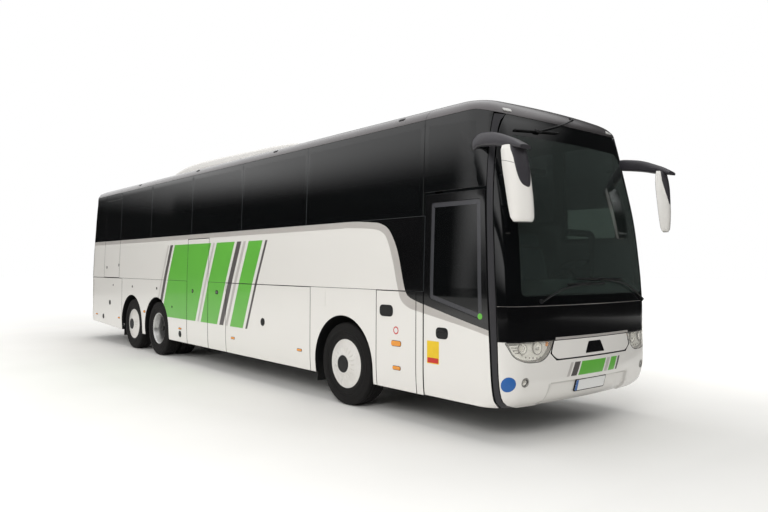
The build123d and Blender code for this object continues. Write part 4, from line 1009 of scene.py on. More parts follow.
# Small fittings stand on the body as slabs: a loop on a surface, raised in levels of (height, inset)
def slab(shape, surface, loop, levels, material, deep=0.0):
    loop = anticlockwise(loop)
    mid = (sum(a for a, b in loop) / len(loop), sum(b for a, b in loop) / len(loop))
    p, pa, pb, pd = (np.array(surface(*q)) for q in ((*mid, 0), (mid[0] + 3, mid[1], 0),
                                                     (mid[0], mid[1] + 3, 0), (*mid, 3)))
    flip = np.dot(np.cross(pa - p, pb - p), pd - p) > 0
    rows = [[surface(a, b, deep - height) for a, b in shifted(loop, inset)] for height, inset in levels]
    rows = [row[::-1] if flip else row for row in rows]
    strip(shape, rows[::-1], material, loop=True)
    top, inset = levels[-1]
    last = shifted(loop, inset)
    rings = [rows[-1]]
    for f in (0.66, 0.33, 0.01):                     # the top follows the surface to its middle
        ring = [surface(mid[0] + (a - mid[0]) * f, mid[1] + (b - mid[1]) * f, deep - top) for a, b in last]
        rings.append(ring[::-1] if flip else ring)
    strip(shape, rings[::-1], material, loop=True)


def disc(a, b, r, count=28):
    return [(a + r * math.cos(t), b + r * math.sin(t))
            for t in (2 * math.pi * k / count for k in range(count))]


def oblong(a, b, wide, tall, radius=None):
    r = min(wide, tall) / 2 if radius is None else radius
    return rounded(rect(a - wide / 2, b - tall / 2, a + wide / 2, b + tall / 2), r * 2)


# Roof: one skin over the section table, in a main part and a front cap
roof = {"crown": 6.0, "ceiling": 45.0, "hatches": [-8300.0, -400.0], "hatchTop": 3530.0,
        "hooks": [-9840.0, -7220.0, -4430.0, -1800.0, 980.0], "hookHigh": 3372.0,
        "pod": [(-6300, 3498), (-6180, 3532), (-5950, 3570), (-5600, 3609), (-5200, 3622), (-4800, 3625),
                (-4000, 3612), (-3200, 3594), (-2500, 3575), (-2050, 3556), (-1800, 3536), (-1650, 3502)],
        "podHalf": 860.0}


def roofColumns(part):
    columns = []
    if part == "main":
        columns += [("rearFace", k / 8) for k in range(9)] + [("rearArc", k / 10) for k in range(1, 11)]
        columns += [("side", k / 56) for k in range(1, 57)]
    else:
        columns += [("frontFace", k / 10) for k in range(11)] + [("frontArc", k / 10) for k in range(1, 11)]
        columns += [("cap", k / 8) for k in range(1, 9)]
    return columns


def columnRun(kind, u, z):
    p = planAt(z)
    rearArc = p["c2"] - body["rearCorner"] * (math.pi / 2 - p["a2"])
    frontArc = p["c1"] + body["frontCorner"] * (math.pi / 2 - p["a1"])
    low, high = {"rearFace": (p["mid2"], rearArc), "rearArc": (rearArc, p["c2"]),
                 "side": (p["c2"], body["capSeam"] - 2.5), "frontFace": (p["mid1"], frontArc),
                 "frontArc": (frontArc, p["c1"]), "cap": (p["c1"], body["capSeam"] + 2.5)}[kind]
    return low + (high - low) * u


def roofShape(part, paint, under):
    shape = newShape()
    columns = roofColumns(part)
    top = heights[-1]
    levels = [(9.0, 0.0), (2.0, 0.0), (0.0, 0.0)] + [
        (0.0, f) for f in (0.02, 0.08, 0.16, 0.25, 0.34, 0.44, 0.54, 0.63, 0.72, 0.8, 0.87, 0.93, 0.97, 1.0)]
    rows = []
    for deep, f in levels:
        half = []
        for kind, u in columns:
            z = body["glassTop"]
            for _ in range(5):
                z = roofLow(around(columnRun(kind, u, z), z, 0)[0])
            z = z + 2.5 + (top - z - 2.5) * f + (1.5 if deep == 0 and f == 0 else 0)
            x, y = around(columnRun(kind, u, z), z, deep)
            half.append((x, y, z))
        rows.append([(x, -y, z) for x, y, z in half[:0:-1]] + half)
    for f in (0.85, 0.65, 0.45, 0.25, 0.0):
        rows.append([(x, y * f, top + roof["crown"] * (1 - f * f)) for x, y, z in rows[16]])
    strip(shape, rows, paint)
    end = [row[0] for row in rows] + [row[-1] for row in rows[::-1]]
    inner = [(x, y * 0.985, z - 14) for x, y, z in end]
    strip(shape, [end, inner], paint)
    ceiling = []
    for z in (3292.0, 3330.0, 3370.0, 3405.0, 3432.0):
        half = []
        for kind, u in columns:
            x, y = around(columnRun(kind, u, z), z, roof["ceiling"])
            half.append((x, y, z))
        ceiling.append([(x, -y, z) for x, y, z in half[:0:-1]] + half)
    for f in (0.8, 0.5, 0.25, 0.0):
        ceiling.append([(x, y * f, 3444.0) for x, y, z in ceiling[4]])
    strip(shape, [row[::-1] for row in ceiling], under)
    return shape


shape = roofShape("main", roofPaint, absGrey)


def onHatch(a, b, deep):
    return a, b, roof["hatchTop"] - deep


for s in roof["hatches"]:
    slab(shape, onHatch, oblong(s, 0, 760, 600, 45), [(-36, 0), (-12, 0), (-4, 3), (0, 12)], roofPaint)
    slab(shape, onHatch, oblong(s, 0, 640, 480, 30), [(-3, 0), (-0.5, 2)], absBlack)
for s in roof["hooks"]:
    for side in (-1, 1):
        slab(shape, onSide(side), oblong(s, roof["hookHigh"], 95, 26), [(-2, 0), (5, 0), (9, 3)], absBlack)
makePiece("roofSkin", shape, "coach", ["roof"], 50)
makePiece("roofFrontCap", roofShape("cap", roofPaint, absGrey), "coach", ["roof_front_cap"],
          50)

shape = newShape()
rows = []
stations = smooth(roof["pod"], 5)
for s, z in stations:
    end = min(1.0, (s - stations[0][0]) / 160, (stations[-1][0] - s) / 120)
    half = roof["podHalf"] - 70 * (1 - math.sqrt(max(0.0, 1 - (1 - end) ** 2)))
    base = 3480.0
    tall = z - base
    r = min(46.0, tall * 0.8)
    row = [(-half, base)]
    row += [(-half + r * (1 - math.cos(t)), z - r + r * math.sin(t))
            for t in (math.pi / 2 * k / 6 for k in range(7))]
    row += [(-half + r + (half - r) * k / 5, z + 3.0 * (k / 5) * (1 if tall < 120 else 0))
            for k in range(1, 5)]
    row += [(0.0, z)]
    rows.append([(s, y, h) for y, h in row] + [(s, -y, h) for y, h in row[-2::-1]])
strip(shape, rows, coachWhite)
addFaces(shape, rows[0], [list(range(len(rows[0])))], coachWhite)
addFaces(shape, rows[-1], [list(range(len(rows[-1])))[::-1]], coachWhite)


def onPod(a, b, deep):
    return a, b, float(np.interp(a, [p[0] for p in stations], [p[1] for p in stations])) - deep


for s in (-5250.0, -4150.0, -3050.0):                # round fan guards on the pod
    for y in (-380.0, 380.0):
        slab(shape, onPod, disc(s, y, 235, 40), [(-4, 0), (-0.6, 6)], absBlack)
        for r in (60, 110, 160, 205):
            rowsOf = [disc(s, y, r - 4, 40), disc(s, y, r, 40), disc(s, y, r + 4, 40)]
            strip(shape, [[onPod(a, b, h) for a, b in loop] for loop, h in zip(rowsOf, (0.5, -0.2, 0.5))],
                  absGrey, loop=True)
makePiece("roofPodShell", shape, "coach", ["roof_pod"], 40)
print("roof made")

# Tyres, wheels and covers
tyre = {"grooves": [-78, -28, 28, 78], "grooveWide": 9.0,
        "grooveDeep": 11.0, "lugs": 60}
tyreHalf = [(108, 288), (120, 289), (126, 296), (130, 304), (136, 320), (141, 345), (143.2, 356), (139, 360),
            (139, 364), (144.4, 368), (146, 382), (142, 386), (142, 390), (147, 394), (147, 402),
            (146.4, 425), (143, 424), (143, 428), (144.5, 430), (141, 452), (136.5, 470), (134, 482),
            (130.5, 492), (126, 499), (118, 504.5), (106, 506.5)]


def tyreShape(shape, centre, outward):
    # outward is the direction of the outer face along y
    ribs = []
    for g in tyre["grooves"][::-1]:
        w, d = tyre["grooveWide"] / 2, tyre["grooveDeep"]
        ribs += [(g + w + 1, 508 - abs(g) * 0.012), (g + w - 1, 508 - d), (g - w + 1, 508 - d),
                 (g - w - 1, 508 - abs(g) * 0.012)]
    profile = tyreHalf + ribs + [(-a, r) for a, r in tyreHalf[::-1]]
    turns = tyre["lugs"] * 2
    rows = []
    for k in range(turns):
        t = 2 * math.pi * k / turns
        row = []
        for a, r in profile:
            cut = 4.0 if (k % 2 and 118 <= abs(a) <= 134 and r > 470) else 0.0
            if 84 < abs(a) < 117 and r > 500 and k % 2:
                cut = 2.0
            row.append((centre[0] + (r - cut) * math.sin(t), centre[1] + outward * a,
                        centre[2] + (r - cut) * math.cos(t)))
        rows.append(row)
    strip(shape, [row[::-1] for row in rows] if outward > 0 else rows, tyreRubber, closed=True)


cover = {"ribs": 20, "ribIn": 128.0, "ribOut": 222.0,
         "nuts": 10, "nutCircle": 167.5, "holes": 10, "holeCircle": 214.0, "holeR": 23.0}


def coverShape(shape, centre, outward):
    # dished enamelled cover, pressed with shallow radial ribs, black boss in the middle
    profile = [(100, 290), (120, 298), (127, 300.5), (129, 299), (130, 293), (131.5, 284), (134, 268),
               (138, 250),
               (143, 232), (148, 214), (154, 194), (160, 172), (165, 150), (170, 132), (174, 118),
               (175, 108)]
    turns = cover["ribs"] * 8
    rows = []
    for k in range(turns):
        t = 2 * math.pi * k / turns
        wave = max(0.0, math.cos(t * cover["ribs"])) ** 5
        row = []
        for a, r in profile:
            ease = max(0.0, min(1.0, (r - cover["ribIn"]) / 18, (cover["ribOut"] - r) / 30))
            row.append((centre[0] + r * math.sin(t), centre[1] + outward * (a - 12.0 * wave * ease),
                        centre[2] + r * math.cos(t)))
        rows.append(row)
    strip(shape, rows if outward > 0 else [row[::-1] for row in rows], coverEnamel, closed=True)
    boss = [(160, 108), (177, 107), (181, 104), (183, 98), (183.6, 80), (181.5, 60), (183, 40), (183, 0.5)]
    lathe(shape, boss[::-1] if outward < 0 else boss, centre, (0, outward, 0), absBlack, 48)


def onDisc(centre, outward, dish):
    def place(a, b, deep):
        return centre[0] + a, centre[1] + outward * (dish(math.hypot(a, b)) - deep), centre[2] + b
    return place


def nutAt(shape, place, a, b, wide, tall, material):
    hexagon = [(a + wide * math.cos(t), b + wide * math.sin(t)) for t in (math.pi / 3 * k for k in range(6))]
    slab(shape, place, hexagon, [(-1, 0), (tall - 2, 0), (tall, 2)], material)
    slab(shape, place, disc(a, b, wide * 0.5, 12), [(tall - 2, 0), (tall + 10, 0), (tall + 12, 2)],
         zincSteel)


def rimShape(shape, centre, outward, discAt, material, middle):
    # steel rim: flanges, drop centre and disc with hand holes; outward faces along y
    barrel = [(-110, 281), (-119, 299), (-122, 300), (-118, 290), (-104, 283), (-60, 277), (-20, 258),
              (30, 258),
              (60, 272), (98, 279), (112, 284), (118, 294), (122, 299.5), (124.5, 298), (123, 288),
              (112, 277),
              (96, 271), (60, 265), (30, 250), (-20, 250), (-60, 268), (-104, 275), (-110, 281)]
    lathe(shape, barrel if outward > 0 else barrel[::-1], centre, (0, outward, 0), material, 72)

    def dish(r):
        return discAt + float(np.interp(r, [0, 120, 190, 250, 262], [12, 12, 10, -14, -26]))
    place = onDisc(centre, outward, dish)
    holes = [disc(cover["holeCircle"] * math.cos(t), cover["holeCircle"] * math.sin(t), cover["holeR"], 18)
             for t in (2 * math.pi * (k + 0.5) / cover["holes"] for k in range(cover["holes"]))]
    panel(shape, place, disc(0, 0, 262, 60), 12.0, middle, castIron, holes=holes, step=(42, 42), edge=2.5)
    return place


wheelRows = [("front", "front_wheel", "front_tyre", "front_rim"),
             ("tag", "tag_wheel", "tag_tyre", "tag_rim")]
for outward, hand in ((1, "left"), (-1, "right")):
    for label, rider, tyreNode, rimNode in wheelRows:
        centre = (wheelsAt[label], outward * wheelsAt["single"], body["tyreRadius"])
        shape = newShape()
        tyreShape(shape, centre, outward)
        makePiece(label + "Tyre" + hand.title(), shape, rider + "_" + hand, [tyreNode + "_" + hand],
                  30)
        shape = newShape()
        coverShape(shape, centre, outward)
        rimShape(shape, centre, outward, 60.0, coverEnamel, coverEnamel)
        drum = [(-112, 60), (-112, 205), (-20, 208), (-16, 200), (-16, 60)]
        lathe(shape, drum if outward > 0 else drum[::-1], centre, (0, outward, 0), castIron, 40)
        makePiece(label + "Wheel" + hand.title(), shape, rider + "_" + hand, [rimNode + "_" + hand],
                  35)
    shape = newShape()
    outer, inner = ((wheelsAt["drive"], outward * wheelsAt[twin], body["tyreRadius"])
                    for twin in ("twinOuter", "twinInner"))
    for centre in (outer, inner):
        tyreShape(shape, centre, outward)
    makePiece("driveTyres" + hand.title(), shape, "drive_wheels_" + hand, ["drive_tyres_" + hand],
              30)
    shape = newShape()
    place = rimShape(shape, outer, outward, -104.0, forgedAlloy, castIron)
    rimShape(shape, inner, -outward, -104.0, forgedAlloy, castIron)
    hub = [(-96, 138), (-90, 140), (-30, 138), (-22, 130), (-18, 112), (-14, 60), (-14, 0.5)]
    lathe(shape, hub if outward < 0 else hub[::-1], outer, (0, outward, 0), chassisPaint, 40)
    for k in range(cover["nuts"]):
        t = 2 * math.pi * k / cover["nuts"]
        nutAt(shape, place, cover["nutCircle"] * math.cos(t), cover["nutCircle"] * math.sin(t), 18, 24,
              zincSteel)
    for k in range(8):
        t = 2 * math.pi * (k + 0.5) / 8
        face = onDisc(outer, outward, lambda r: -18.0)
        slab(shape, face, disc(92 * math.cos(t), 92 * math.sin(t), 9, 8), [(-2, 0), (8, 0), (10, 2)],
             zincSteel)
    makePiece("driveRims" + hand.title(), shape, "drive_wheels_" + hand, ["drive_rims_" + hand],
              35)
print("wheels made")

# Head lamps, fog lamps and tail lamps
lamp = {"bowlDeep": 40.0, "lens": 4.0, "projector": (1057, 925, 50), "reflector": (862, 921, 58)}


def facingOut(rows, surface, a, b):
    # turns the rows round where their faces would look into the body
    flip = np.dot(np.cross(np.subtract(rows[0][1], rows[0][0]), np.subtract(rows[1][0], rows[0][0])),
                  np.subtract(surface(a, b, 0), surface(a, b, 5))) < 0
    return [row[::-1] for row in rows] if flip else rows


def bowl(shape, surface, a, b, r, deep, lift, material, ring, turns=36):
    # a round reflector with a bright ring, sunk into the lamp's floor
    rows = [[surface(p, q, deep + d) for p, q in disc(a, b, radius, turns)]
            for radius, d in ((r + 7, 0), (r + 6, -lift), (r, -lift - 2), (r - 3, -lift),
                              (r * 0.8, lift * 0.5), (r * 0.45, lift * 0.8), (0.5, lift * 0.9))]
    rows = facingOut(rows, surface, a, b)
    strip(shape, rows[:4], ring, loop=True)
    strip(shape, rows[3:], material, loop=True)


def glassDome(shape, surface, a, b, r, deep, tall, material, turns=24):
    rows = [[surface(p, q, deep - tall * math.sin(t))
             for p, q in disc(a, b, max(0.4, r * math.cos(t)), turns)]
            for t in (math.pi / 2 * k / 5 for k in range(6))]
    strip(shape, facingOut(rows, surface, a, b), material, loop=True)


for side, hand in ((-1, "Right"), (1, "Left")):
    shape = newShape()
    loop = anticlockwise(faceLoop(rounded(front["lamp"], front["lampRound"]), 30, side=side))
    lens = newShape()
    panel(lens, onFront, shifted(loop, 0.5), lamp["lens"], lampLens, lampLens, step=(45, 35), edge=1.5,
          deep=0.5)
    makePiece("headLampLens" + hand, lens, "coach", ["lamps"]).visible_shadow = False
    floorLoop = shifted(loop, 14)
    rim = [[onFront(a, b, deep) for a, b in shifted(loop, inset)]
           for inset, deep in ((2, 7), (5, 9), (9, 24), (14, lamp["bowlDeep"]))]
    strip(shape, rim, lampBezel, loop=True)
    panel(shape, onFront, floorLoop, 3.0, lampMirror, absBlack, step=(30, 24), deep=lamp["bowlDeep"])
    py, pz, pr = lamp["projector"]
    ry, rz, rr = lamp["reflector"]
    pa, ra = acrossOf(side * py, pz), acrossOf(side * ry, rz)
    bowl(shape, onFront, pa, pz, pr, lamp["bowlDeep"], 14, lampMirror, lampBezel)
    glassDome(shape, onFront, pa, pz, pr * 0.72, lamp["bowlDeep"], 22, lampLens)
    bowl(shape, onFront, ra, rz, rr, lamp["bowlDeep"], 12, lampMirror, lampBezel)
    glassDome(shape, onFront, ra, rz, rr * 0.4, lamp["bowlDeep"] - 4, 16, clearMarker)
    for k in range(4):                               # light bars beside the projector
        z = 962 - 26 * k
        y0, y1 = 1118, 1195 - 18 * k
        bar = [(acrossOf(side * y, z + d), z + d) for y, d in ((y0, -4), (y1, -4), (y1, 4), (y0, 4))]
        slab(shape, onFront, bar, [(-2, 0), (10, 0), (13, 2)], lampBezel, deep=lamp["bowlDeep"])
    for k in range(9):                               # small studs along the lower rim
        y = 770 + 48 * k
        z = float(np.interp(y, [735, 830, 1000, 1150], [862, 822, 834, 906]))
        slab(shape, onFront, disc(acrossOf(side * y, z), z, 9, 8), [(-1, 0), (6, 2), (8, 6)], lampBezel,
             deep=lamp["bowlDeep"])
    amber = [(acrossOf(side * y, z), z) for y, z in ((706, 972), (716, 930), (742, 930), (738, 972))]
    slab(shape, onFront, rounded(amber, 8), [(-1, 0), (8, 1), (10, 3)], amberLens, deep=lamp["bowlDeep"])
    makePiece("headLamp" + hand, shape, "coach", ["lamps"])

    shape = newShape()
    fz = front["fogZ"]
    fa = acrossOf(side * front["fogY"], fz)
    ring = [[onBumper(a, b, deep) for a, b in disc(fa, fz, r, 32)]
            for r, deep in ((44, 6), (43.5, -2), (40, -5), (36, -2), (33, 8))]
    strip(shape, [row[::-1] for row in ring], lampBezel, loop=True)
    bowl(shape, onBumper, fa, fz, 28, 26, 8, lampMirror, lampBezel, 28)
    lens = newShape()
    panel(lens, onBumper, disc(fa, fz, 35, 28), 3.0, lampLens, lampLens, step=(20, 20), edge=1.0, deep=3.0)
    makePiece("fogLampLens" + hand, lens, "coach", ["lamps"]).visible_shadow = False
    makePiece("fogLamp" + hand, shape, "coach", ["lamps"])

    shape = newShape()
    loop = anticlockwise(faceLoop(rounded(rear["lamp"], 24), 40, True, side))
    lowA, highA = min(p[0] for p in loop) - 5, max(p[0] for p in loop) + 5
    bands = [(rect(lowA, z0, highA, z1), paint)
             for z0, z1, paint in ((1215, 1330, amberLens), (925, 1010, clearMarker))]
    panel(shape, onRear, loop, 12.0, redLens, absBlack, films=bands, step=(35, 45), edge=3.0, deep=1.0)
    for z in (862, 968, 1112, 1272, 1375):
        mid = acrossOf(side * 1080, z, True)
        bowl(shape, onRear, mid, z, 34, 1.0, 3, {968: clearMarker, 1272: amberLens}.get(z, redLens),
             lampBezel, 28)
    makePiece("tailLamp" + hand, shape, "coach", ["lamps"])
print("lamps made")

# Mirrors: a curved arm over each front corner, a moulded shell and two glasses
mirror = {"yaw": 24.0,
          "arm": [(2110, 1196, 2916, 122, 62), (2200, 1238, 2944, 120, 70), (2290, 1270, 2945, 138, 84),
                  (2450, 1306, 2924, 138, 112), (2560, 1318, 2898, 128, 130), (2640, 1325, 2872, 116, 142),
                  (2740, 1328, 2842, 90, 152), (2830, 1330, 2808, 56, 156), (2862, 1331, 2795, 40, 152)],
          "head": [(2728, 1328, 2828, 205, 96), (2735, 1325, 2800, 235, 120), (2748, 1318, 2710, 246, 142),
                   (2760, 1312, 2620, 250, 150), (2776, 1303, 2480, 248, 142), (2790, 1295, 2350, 245, 132),
                   (2799, 1289, 2240, 238, 116), (2805, 1285, 2160, 226, 98), (2806, 1284, 2128, 204, 78),
                   (2806, 1284, 2118, 176, 58)]}
headTable = np.array(mirror["head"][::-1], float)
turnC, turnS = math.cos(math.radians(mirror["yaw"])), math.sin(math.radians(mirror["yaw"]))


def headAt(z):
    return [float(np.interp(z, headTable[:, 2], headTable[:, k])) for k in (0, 1, 3, 4)]


def onHead(side):
    # a is 200 at the outer edge, -200 at the inner one; b is the height
    def place(a, b, deep):
        s, y, wide, thick = headAt(b)
        t = a / 200 * math.pi / 2
        across = (wide / 2 - deep) * math.copysign(abs(math.sin(t)) ** 0.82, t)
        out = -thick / 2 + (thick - deep) * abs(math.cos(t)) ** 0.72
        return s + out * turnC - across * turnS, side * (y + out * turnS + across * turnC), b
    return place


def onGlass(side):
    def place(a, b, deep):
        s, y, wide, thick = headAt(b)
        out = -thick / 2 + deep
        return s + out * turnC - a * turnS, side * (y + out * turnS + a * turnC), b
    return place


insert = smooth([(-150, 2835), (60, 2835), (60, 2700), (52, 2600), (34, 2510), (4, 2452), (-34, 2432),
                 (-66, 2452), (-92, 2510), (-122, 2600), (-146, 2720)], 4)
for side, hand in ((-1, "Right"), (1, "Left")):
    shape = newShape()
    path = smooth([p[:3] for p in mirror["arm"]], 4)
    talls = [np.interp(p[0], [q[0] for q in mirror["arm"]], [q[3] for q in mirror["arm"]]) for p in path]
    wides = [np.interp(p[0], [q[0] for q in mirror["arm"]], [q[4] for q in mirror["arm"]]) for p in path]
    rows = []
    for (s, y, z), tall, wide in zip(path, talls, wides):
        row = []
        for k in range(24):
            t = 2 * math.pi * k / 24
            ca, sa = math.cos(t), math.sin(t)
            a = wide / 2 * math.copysign(abs(ca) ** 0.62, ca)
            b = tall / 2 * math.copysign(abs(sa) ** (0.9 if sa > 0 else 0.5), sa)
            row.append((s, side * (y + a), z + b))
        rows.append(row[::-1] if side > 0 else row)
    strip(shape, rows[::-1], mirrorArm, loop=True)
    addFaces(shape, rows[-1], [list(range(24))], mirrorArm)
    shell = rect(-199, 2120, 199, 2828)
    seam = [([(62, 2650), (200, 2690), (200, 2694), (62, 2654)], sealRubber)]
    panel(shape, onHead(side), shell, 5.0, coachWhite, absBlack, films=[(insert, mirrorArm)] + seam,
          step=(12, 22), edge=1.0)
    glassPlace = onGlass(side)
    back = [(-(headAt(z)[2] / 2 - 1), z) for z in range(2120, 2830, 44)]
    back = back + [(-a, z) for a, z in back[::-1]]
    panel(shape, glassPlace, back, 3.0, absBlack, absBlack, step=(60, 60), edge=1.0, deep=6.0)
    for z0, z1 in ((2420, 2800), (2165, 2400)):
        pane = [(-(headAt(z)[2] / 2 - 16), z) for z in np.linspace(z0, z1, 6)]
        pane = pane + [(-a, z) for a, z in pane[::-1]]
        panel(shape, glassPlace, rounded(pane, 14), 2.0, mirrorGlass, absBlack, step=(50, 50), edge=1.0,
              deep=3.5)
    for z in (2118.0, 2828.0):                       # closed ends of the shell
        ends = [onHead(side)(a, z, 1.0) for a in range(-198, 199, 18)]
        addFaces(shape, ends, [list(range(len(ends)))[::1 if (side > 0) == (z > 2500) else -1]], coachWhite)
    makePiece("mirror" + hand, shape, "coach", ["mirrors"], 40)
print("mirrors made")

# Wipers, trim, a painted highlight along the screen's foot, the blank plate and plain stickers on the front
shape = newShape()


def overScreen(points, lift):
    return [onFront(a, b, -h)
            for (a, b), h in zip(points, lift if isinstance(lift, list) else [lift] * len(points))]


def wiper(pivot, elbow, tipA, tipB):
    slab(shape, onFront, disc(pivot[0], pivot[1], 22, 20), [(-2, 0), (14, 0), (20, 5)], absBlack)
    mid = ((tipA[0] + tipB[0]) / 2, (tipA[1] + tipB[1]) / 2)
    tube(shape, overScreen(smooth([pivot, elbow, mid], 6), 26), 11.0, absBlack, 8, 0.7)
    tube(shape, overScreen([tipA, mid, tipB], 9), 6.0, sealRubber, 6, 2.2)
    tube(shape, overScreen(smooth([tipA, (tipA[0] * 0.6 + mid[0] * 0.4, tipA[1] * 0.6 + mid[1] * 0.4), mid,
                                   (tipB[0] * 0.6 + mid[0] * 0.4, tipB[1] * 0.6 + mid[1] * 0.4), tipB],
                                  4), 18),
         8.0, absBlack, 6, 1.2)
    slab(shape, onFront, oblong(mid[0], mid[1], 90, 34), [(8, 0), (28, 0), (32, 4)], absBlack)


wiper((1077, 1345), (640, 1520), (560, 1578), (-307, 1590))
wiper((-831, 1372), (-520, 1492), (-440, 1534), (187, 1541))
wiper((151, 3345), (-120, 3235), (-226, 3128), (-886, 3081))
makePiece("wipers", shape, "coach")

shape = newShape()
strap = [(a, 990) for a in range(-636, 681, 47)] + [(a, 1014) for a in range(680, -637, -47)]
slab(shape, onFront, strap, [(-6, 0), (1.5, 0), (3, 1.5)], silverFilm)
# the seal along the foot of the windscreen, in light silver: a painted highlight standing in for the light
# that its edge reflects
half = seamAcross(1331, 4)
screenSeamHighlight = ([(a, 1326.5) for a in np.linspace(-half, half, 60)]
        + [(a, 1330.5) for a in np.linspace(half, -half, 60)])
slab(shape, onFront, screenSeamHighlight, [(-6, 0), (0.5, 0), (1.0, 0.6)], silverFilm)
slab(shape, onFront, disc(-1220, 590, 72, 40), [(-0.5, 0), (0.6, 0), (0.9, 0.6)], filmBlue)
plateFoot, plateHead = (np.array(onBumper(-20, b, 0)) for b in (504, 560))
plateWide = np.array([0.0, 1.0, 0.0])
plateTall = (plateHead - plateFoot) / np.linalg.norm(plateHead - plateFoot)
plateOut = np.cross(plateWide, plateTall)


def onPlate(a, b, deep):
    # the flat number plate, 6 mm proud of the bumper
    return tuple(plateFoot + plateWide * a + plateTall * b + plateOut * (6 - deep))


slab(shape, onPlate, oblong(0, 0, 540, 134, 8), [(-10, 0), (0, 0), (2, 2)], absBlack)
slab(shape, onPlate, oblong(0, 0, 520, 114, 5), [(0, 0), (3, 0), (3.6, 1)], plateWhite)
slab(shape, onPlate, oblong(-240, 0, 40, 112, 3), [(3, 0), (3.9, 0), (4.0, 0.4)], filmBlue)
makePiece("frontTrimAndScreenHighlight", shape, "coach")
shape = newShape()
slab(shape, onFront, rounded([(-118, 948), (-172, 828), (166, 828), (95, 948)], 16),
     [(-1, 0), (2, 0), (3.5, 2)], blackFilm)
makePiece("flapPlate", shape, "front_flap")

# Seals between the bonded panes
shape = newShape()
for side, hand in ((-1, "right"), (1, "left")):
    for start, end in glassEdges[hand][1:]:
        seal = dense(rect(start - 3, 2256, start + 3, 3280), 60.0)
        slab(shape, onSide(side), seal, [(-5, 0), (0.2, 0), (0.6, 0.6)], absGrey)
makePiece("glassSeals", shape, "coach")

# Side markers, intake covers, locks and the door's fittings, each on the panel that carries it
fittings = {"markers": {"service_flap_right": [(1016, 850, 160, 58), (1025, 578, 128, 40)],
                        "luggage_flap_right": [(-968, 585, 110, 30), (-2875, 585, 110, 30)],
                        "coachRight": [(-4902, 585, 110, 30), (-6635, 797, 90, 44)],
                        "engine_flap_right": [(-8132, 585, 110, 30), (-9648, 585, 110, 30)],
                        "coachLeft": [(-400, 900, 110, 30), (1016, 850, 160, 58), (-6635, 797, 90, 44)],
                        "luggage_flap_left_front": [(-968, 585, 110, 30), (-2875, 585, 110, 30)],
                        "luggage_flap_left_rear": [(-4902, 585, 110, 30)],
                        "engine_flap_left": [(-8132, 585, 110, 30), (-9648, 585, 110, 30)]},
            "caps": {"luggage_flap_right": [(-1954, 895, 58)],
                     "coachRight": [(-4908, 488, 58), (-6006, 1274, 24),
                     (-7330, 1275, 24), (-5267, 956, 20)],
                     "engine_flap_right": [(-8730, 889, 54), (-9177, 559, 54), (-8521, 1279, 20)],
                     "luggage_flap_left_front": [(-1954, 895, 58)],
                     "luggage_flap_left_rear": [(-4908, 488, 58)],
                     "engine_flap_left": [(-9177, 559, 54)]},
            "locks": {"middle_door": [(-4379, 1272, 62, 62)], "coachRight": [(-3447, 1279, 95, 62)],
                      "emergency_door": [(-8978, 1666, 56, 56), (-8190, 1719, 44, 60)],
                      "service_flap_right": [(842, 1208, 234, 132)]}}
pieces = {}
for kind, table in fittings.items():
    for carrier, rows in table.items():
        shape = pieces.setdefault(carrier, newShape())
        surface = onSide(1 if "left" in carrier.lower() else -1)
        for row in rows:
            if kind == "markers":
                s, z, wide, tall = row
                slab(shape, surface, oblong(s, z, wide + 8, tall + 8), [(-1, 0), (2, 0), (3, 1)], absBlack)
                slab(shape, surface, oblong(s, z, wide, tall), [(2, 0), (8, 1), (12, 5), (13, 10)],
                     amberLens)
            elif kind == "caps":
                s, z, r = row
                slab(shape, surface, disc(s, z, r), [(-1, 0), (3, 0), (5, 3)], absBlack)
                slab(shape, surface, disc(s, z, r * 0.72), [(4, 0), (7, 2), (7.5, 6)], absBlack)
            else:
                s, z, wide, tall = row
                slab(shape, surface, oblong(s, z, wide, tall, min(wide, tall) * 0.4),
                     [(-1, 0), (3, 0), (5, 3)], absBlack)
                slab(shape, surface, oblong(s, z, wide * 0.7, tall * 0.5, tall * 0.2), [(4, 0), (6, 1)],
                     zincSteel if wide < 100 else sealRubber)
slab(pieces["coachRight"], onSide(-1), rounded(rect(-556, 1198, -366, 1411), 12),
     [(-0.5, 0), (1.6, 0), (2.4, 1.2)], coachWhite)
slab(pieces["service_flap_right"], onSide(-1), disc(1011, 995, 44, 32),
     stickerLevels, filmRed)
slab(pieces["service_flap_right"], onSide(-1), disc(1011, 995, 30, 32), [(0.6, 0), (1.1, 0), (1.3, 0.4)],
     plateWhite)
for carrier, shape in pieces.items():
    rider = "coach" if carrier.startswith("coach") else carrier
    makePiece(carrier.replace("_", "") + "Fittings", shape, rider)

shape = newShape()
surface = onSide(-1)
handle = {"at": (1738, 1019), "size": (176, 118)}
slab(shape, surface, oblong(*handle["at"], *handle["size"], 26), [(-1, 0), (3, 0), (4.5, 3)], absBlack)
slab(shape, surface, oblong(*handle["at"], 150, 92, 20), [(3.5, 0), (4.7, 1)], sealRubber)
grip = [(1672, 1034), (1690, 1046), (1738, 1050), (1786, 1046), (1804, 1034)]
tube(shape, [surface(a, b, -h) for (a, b), h in zip(grip, (5, 16, 20, 16, 5))], 8.0, absBlack, 8)
slab(shape, surface, rounded(rect(1516, 690, 1696, 928), 8), stickerLevels,
     filmYellow)
slab(shape, surface, rounded(rect(1524, 698, 1688, 752), 5), [(0.6, 0), (1.2, 0), (1.3, 0.3)],
     filmRed)
slab(shape, surface, disc(2263, 1224, 30, 28), stickerLevels, greenFilm)
makePiece("frontDoorFittings", shape, "front_door")

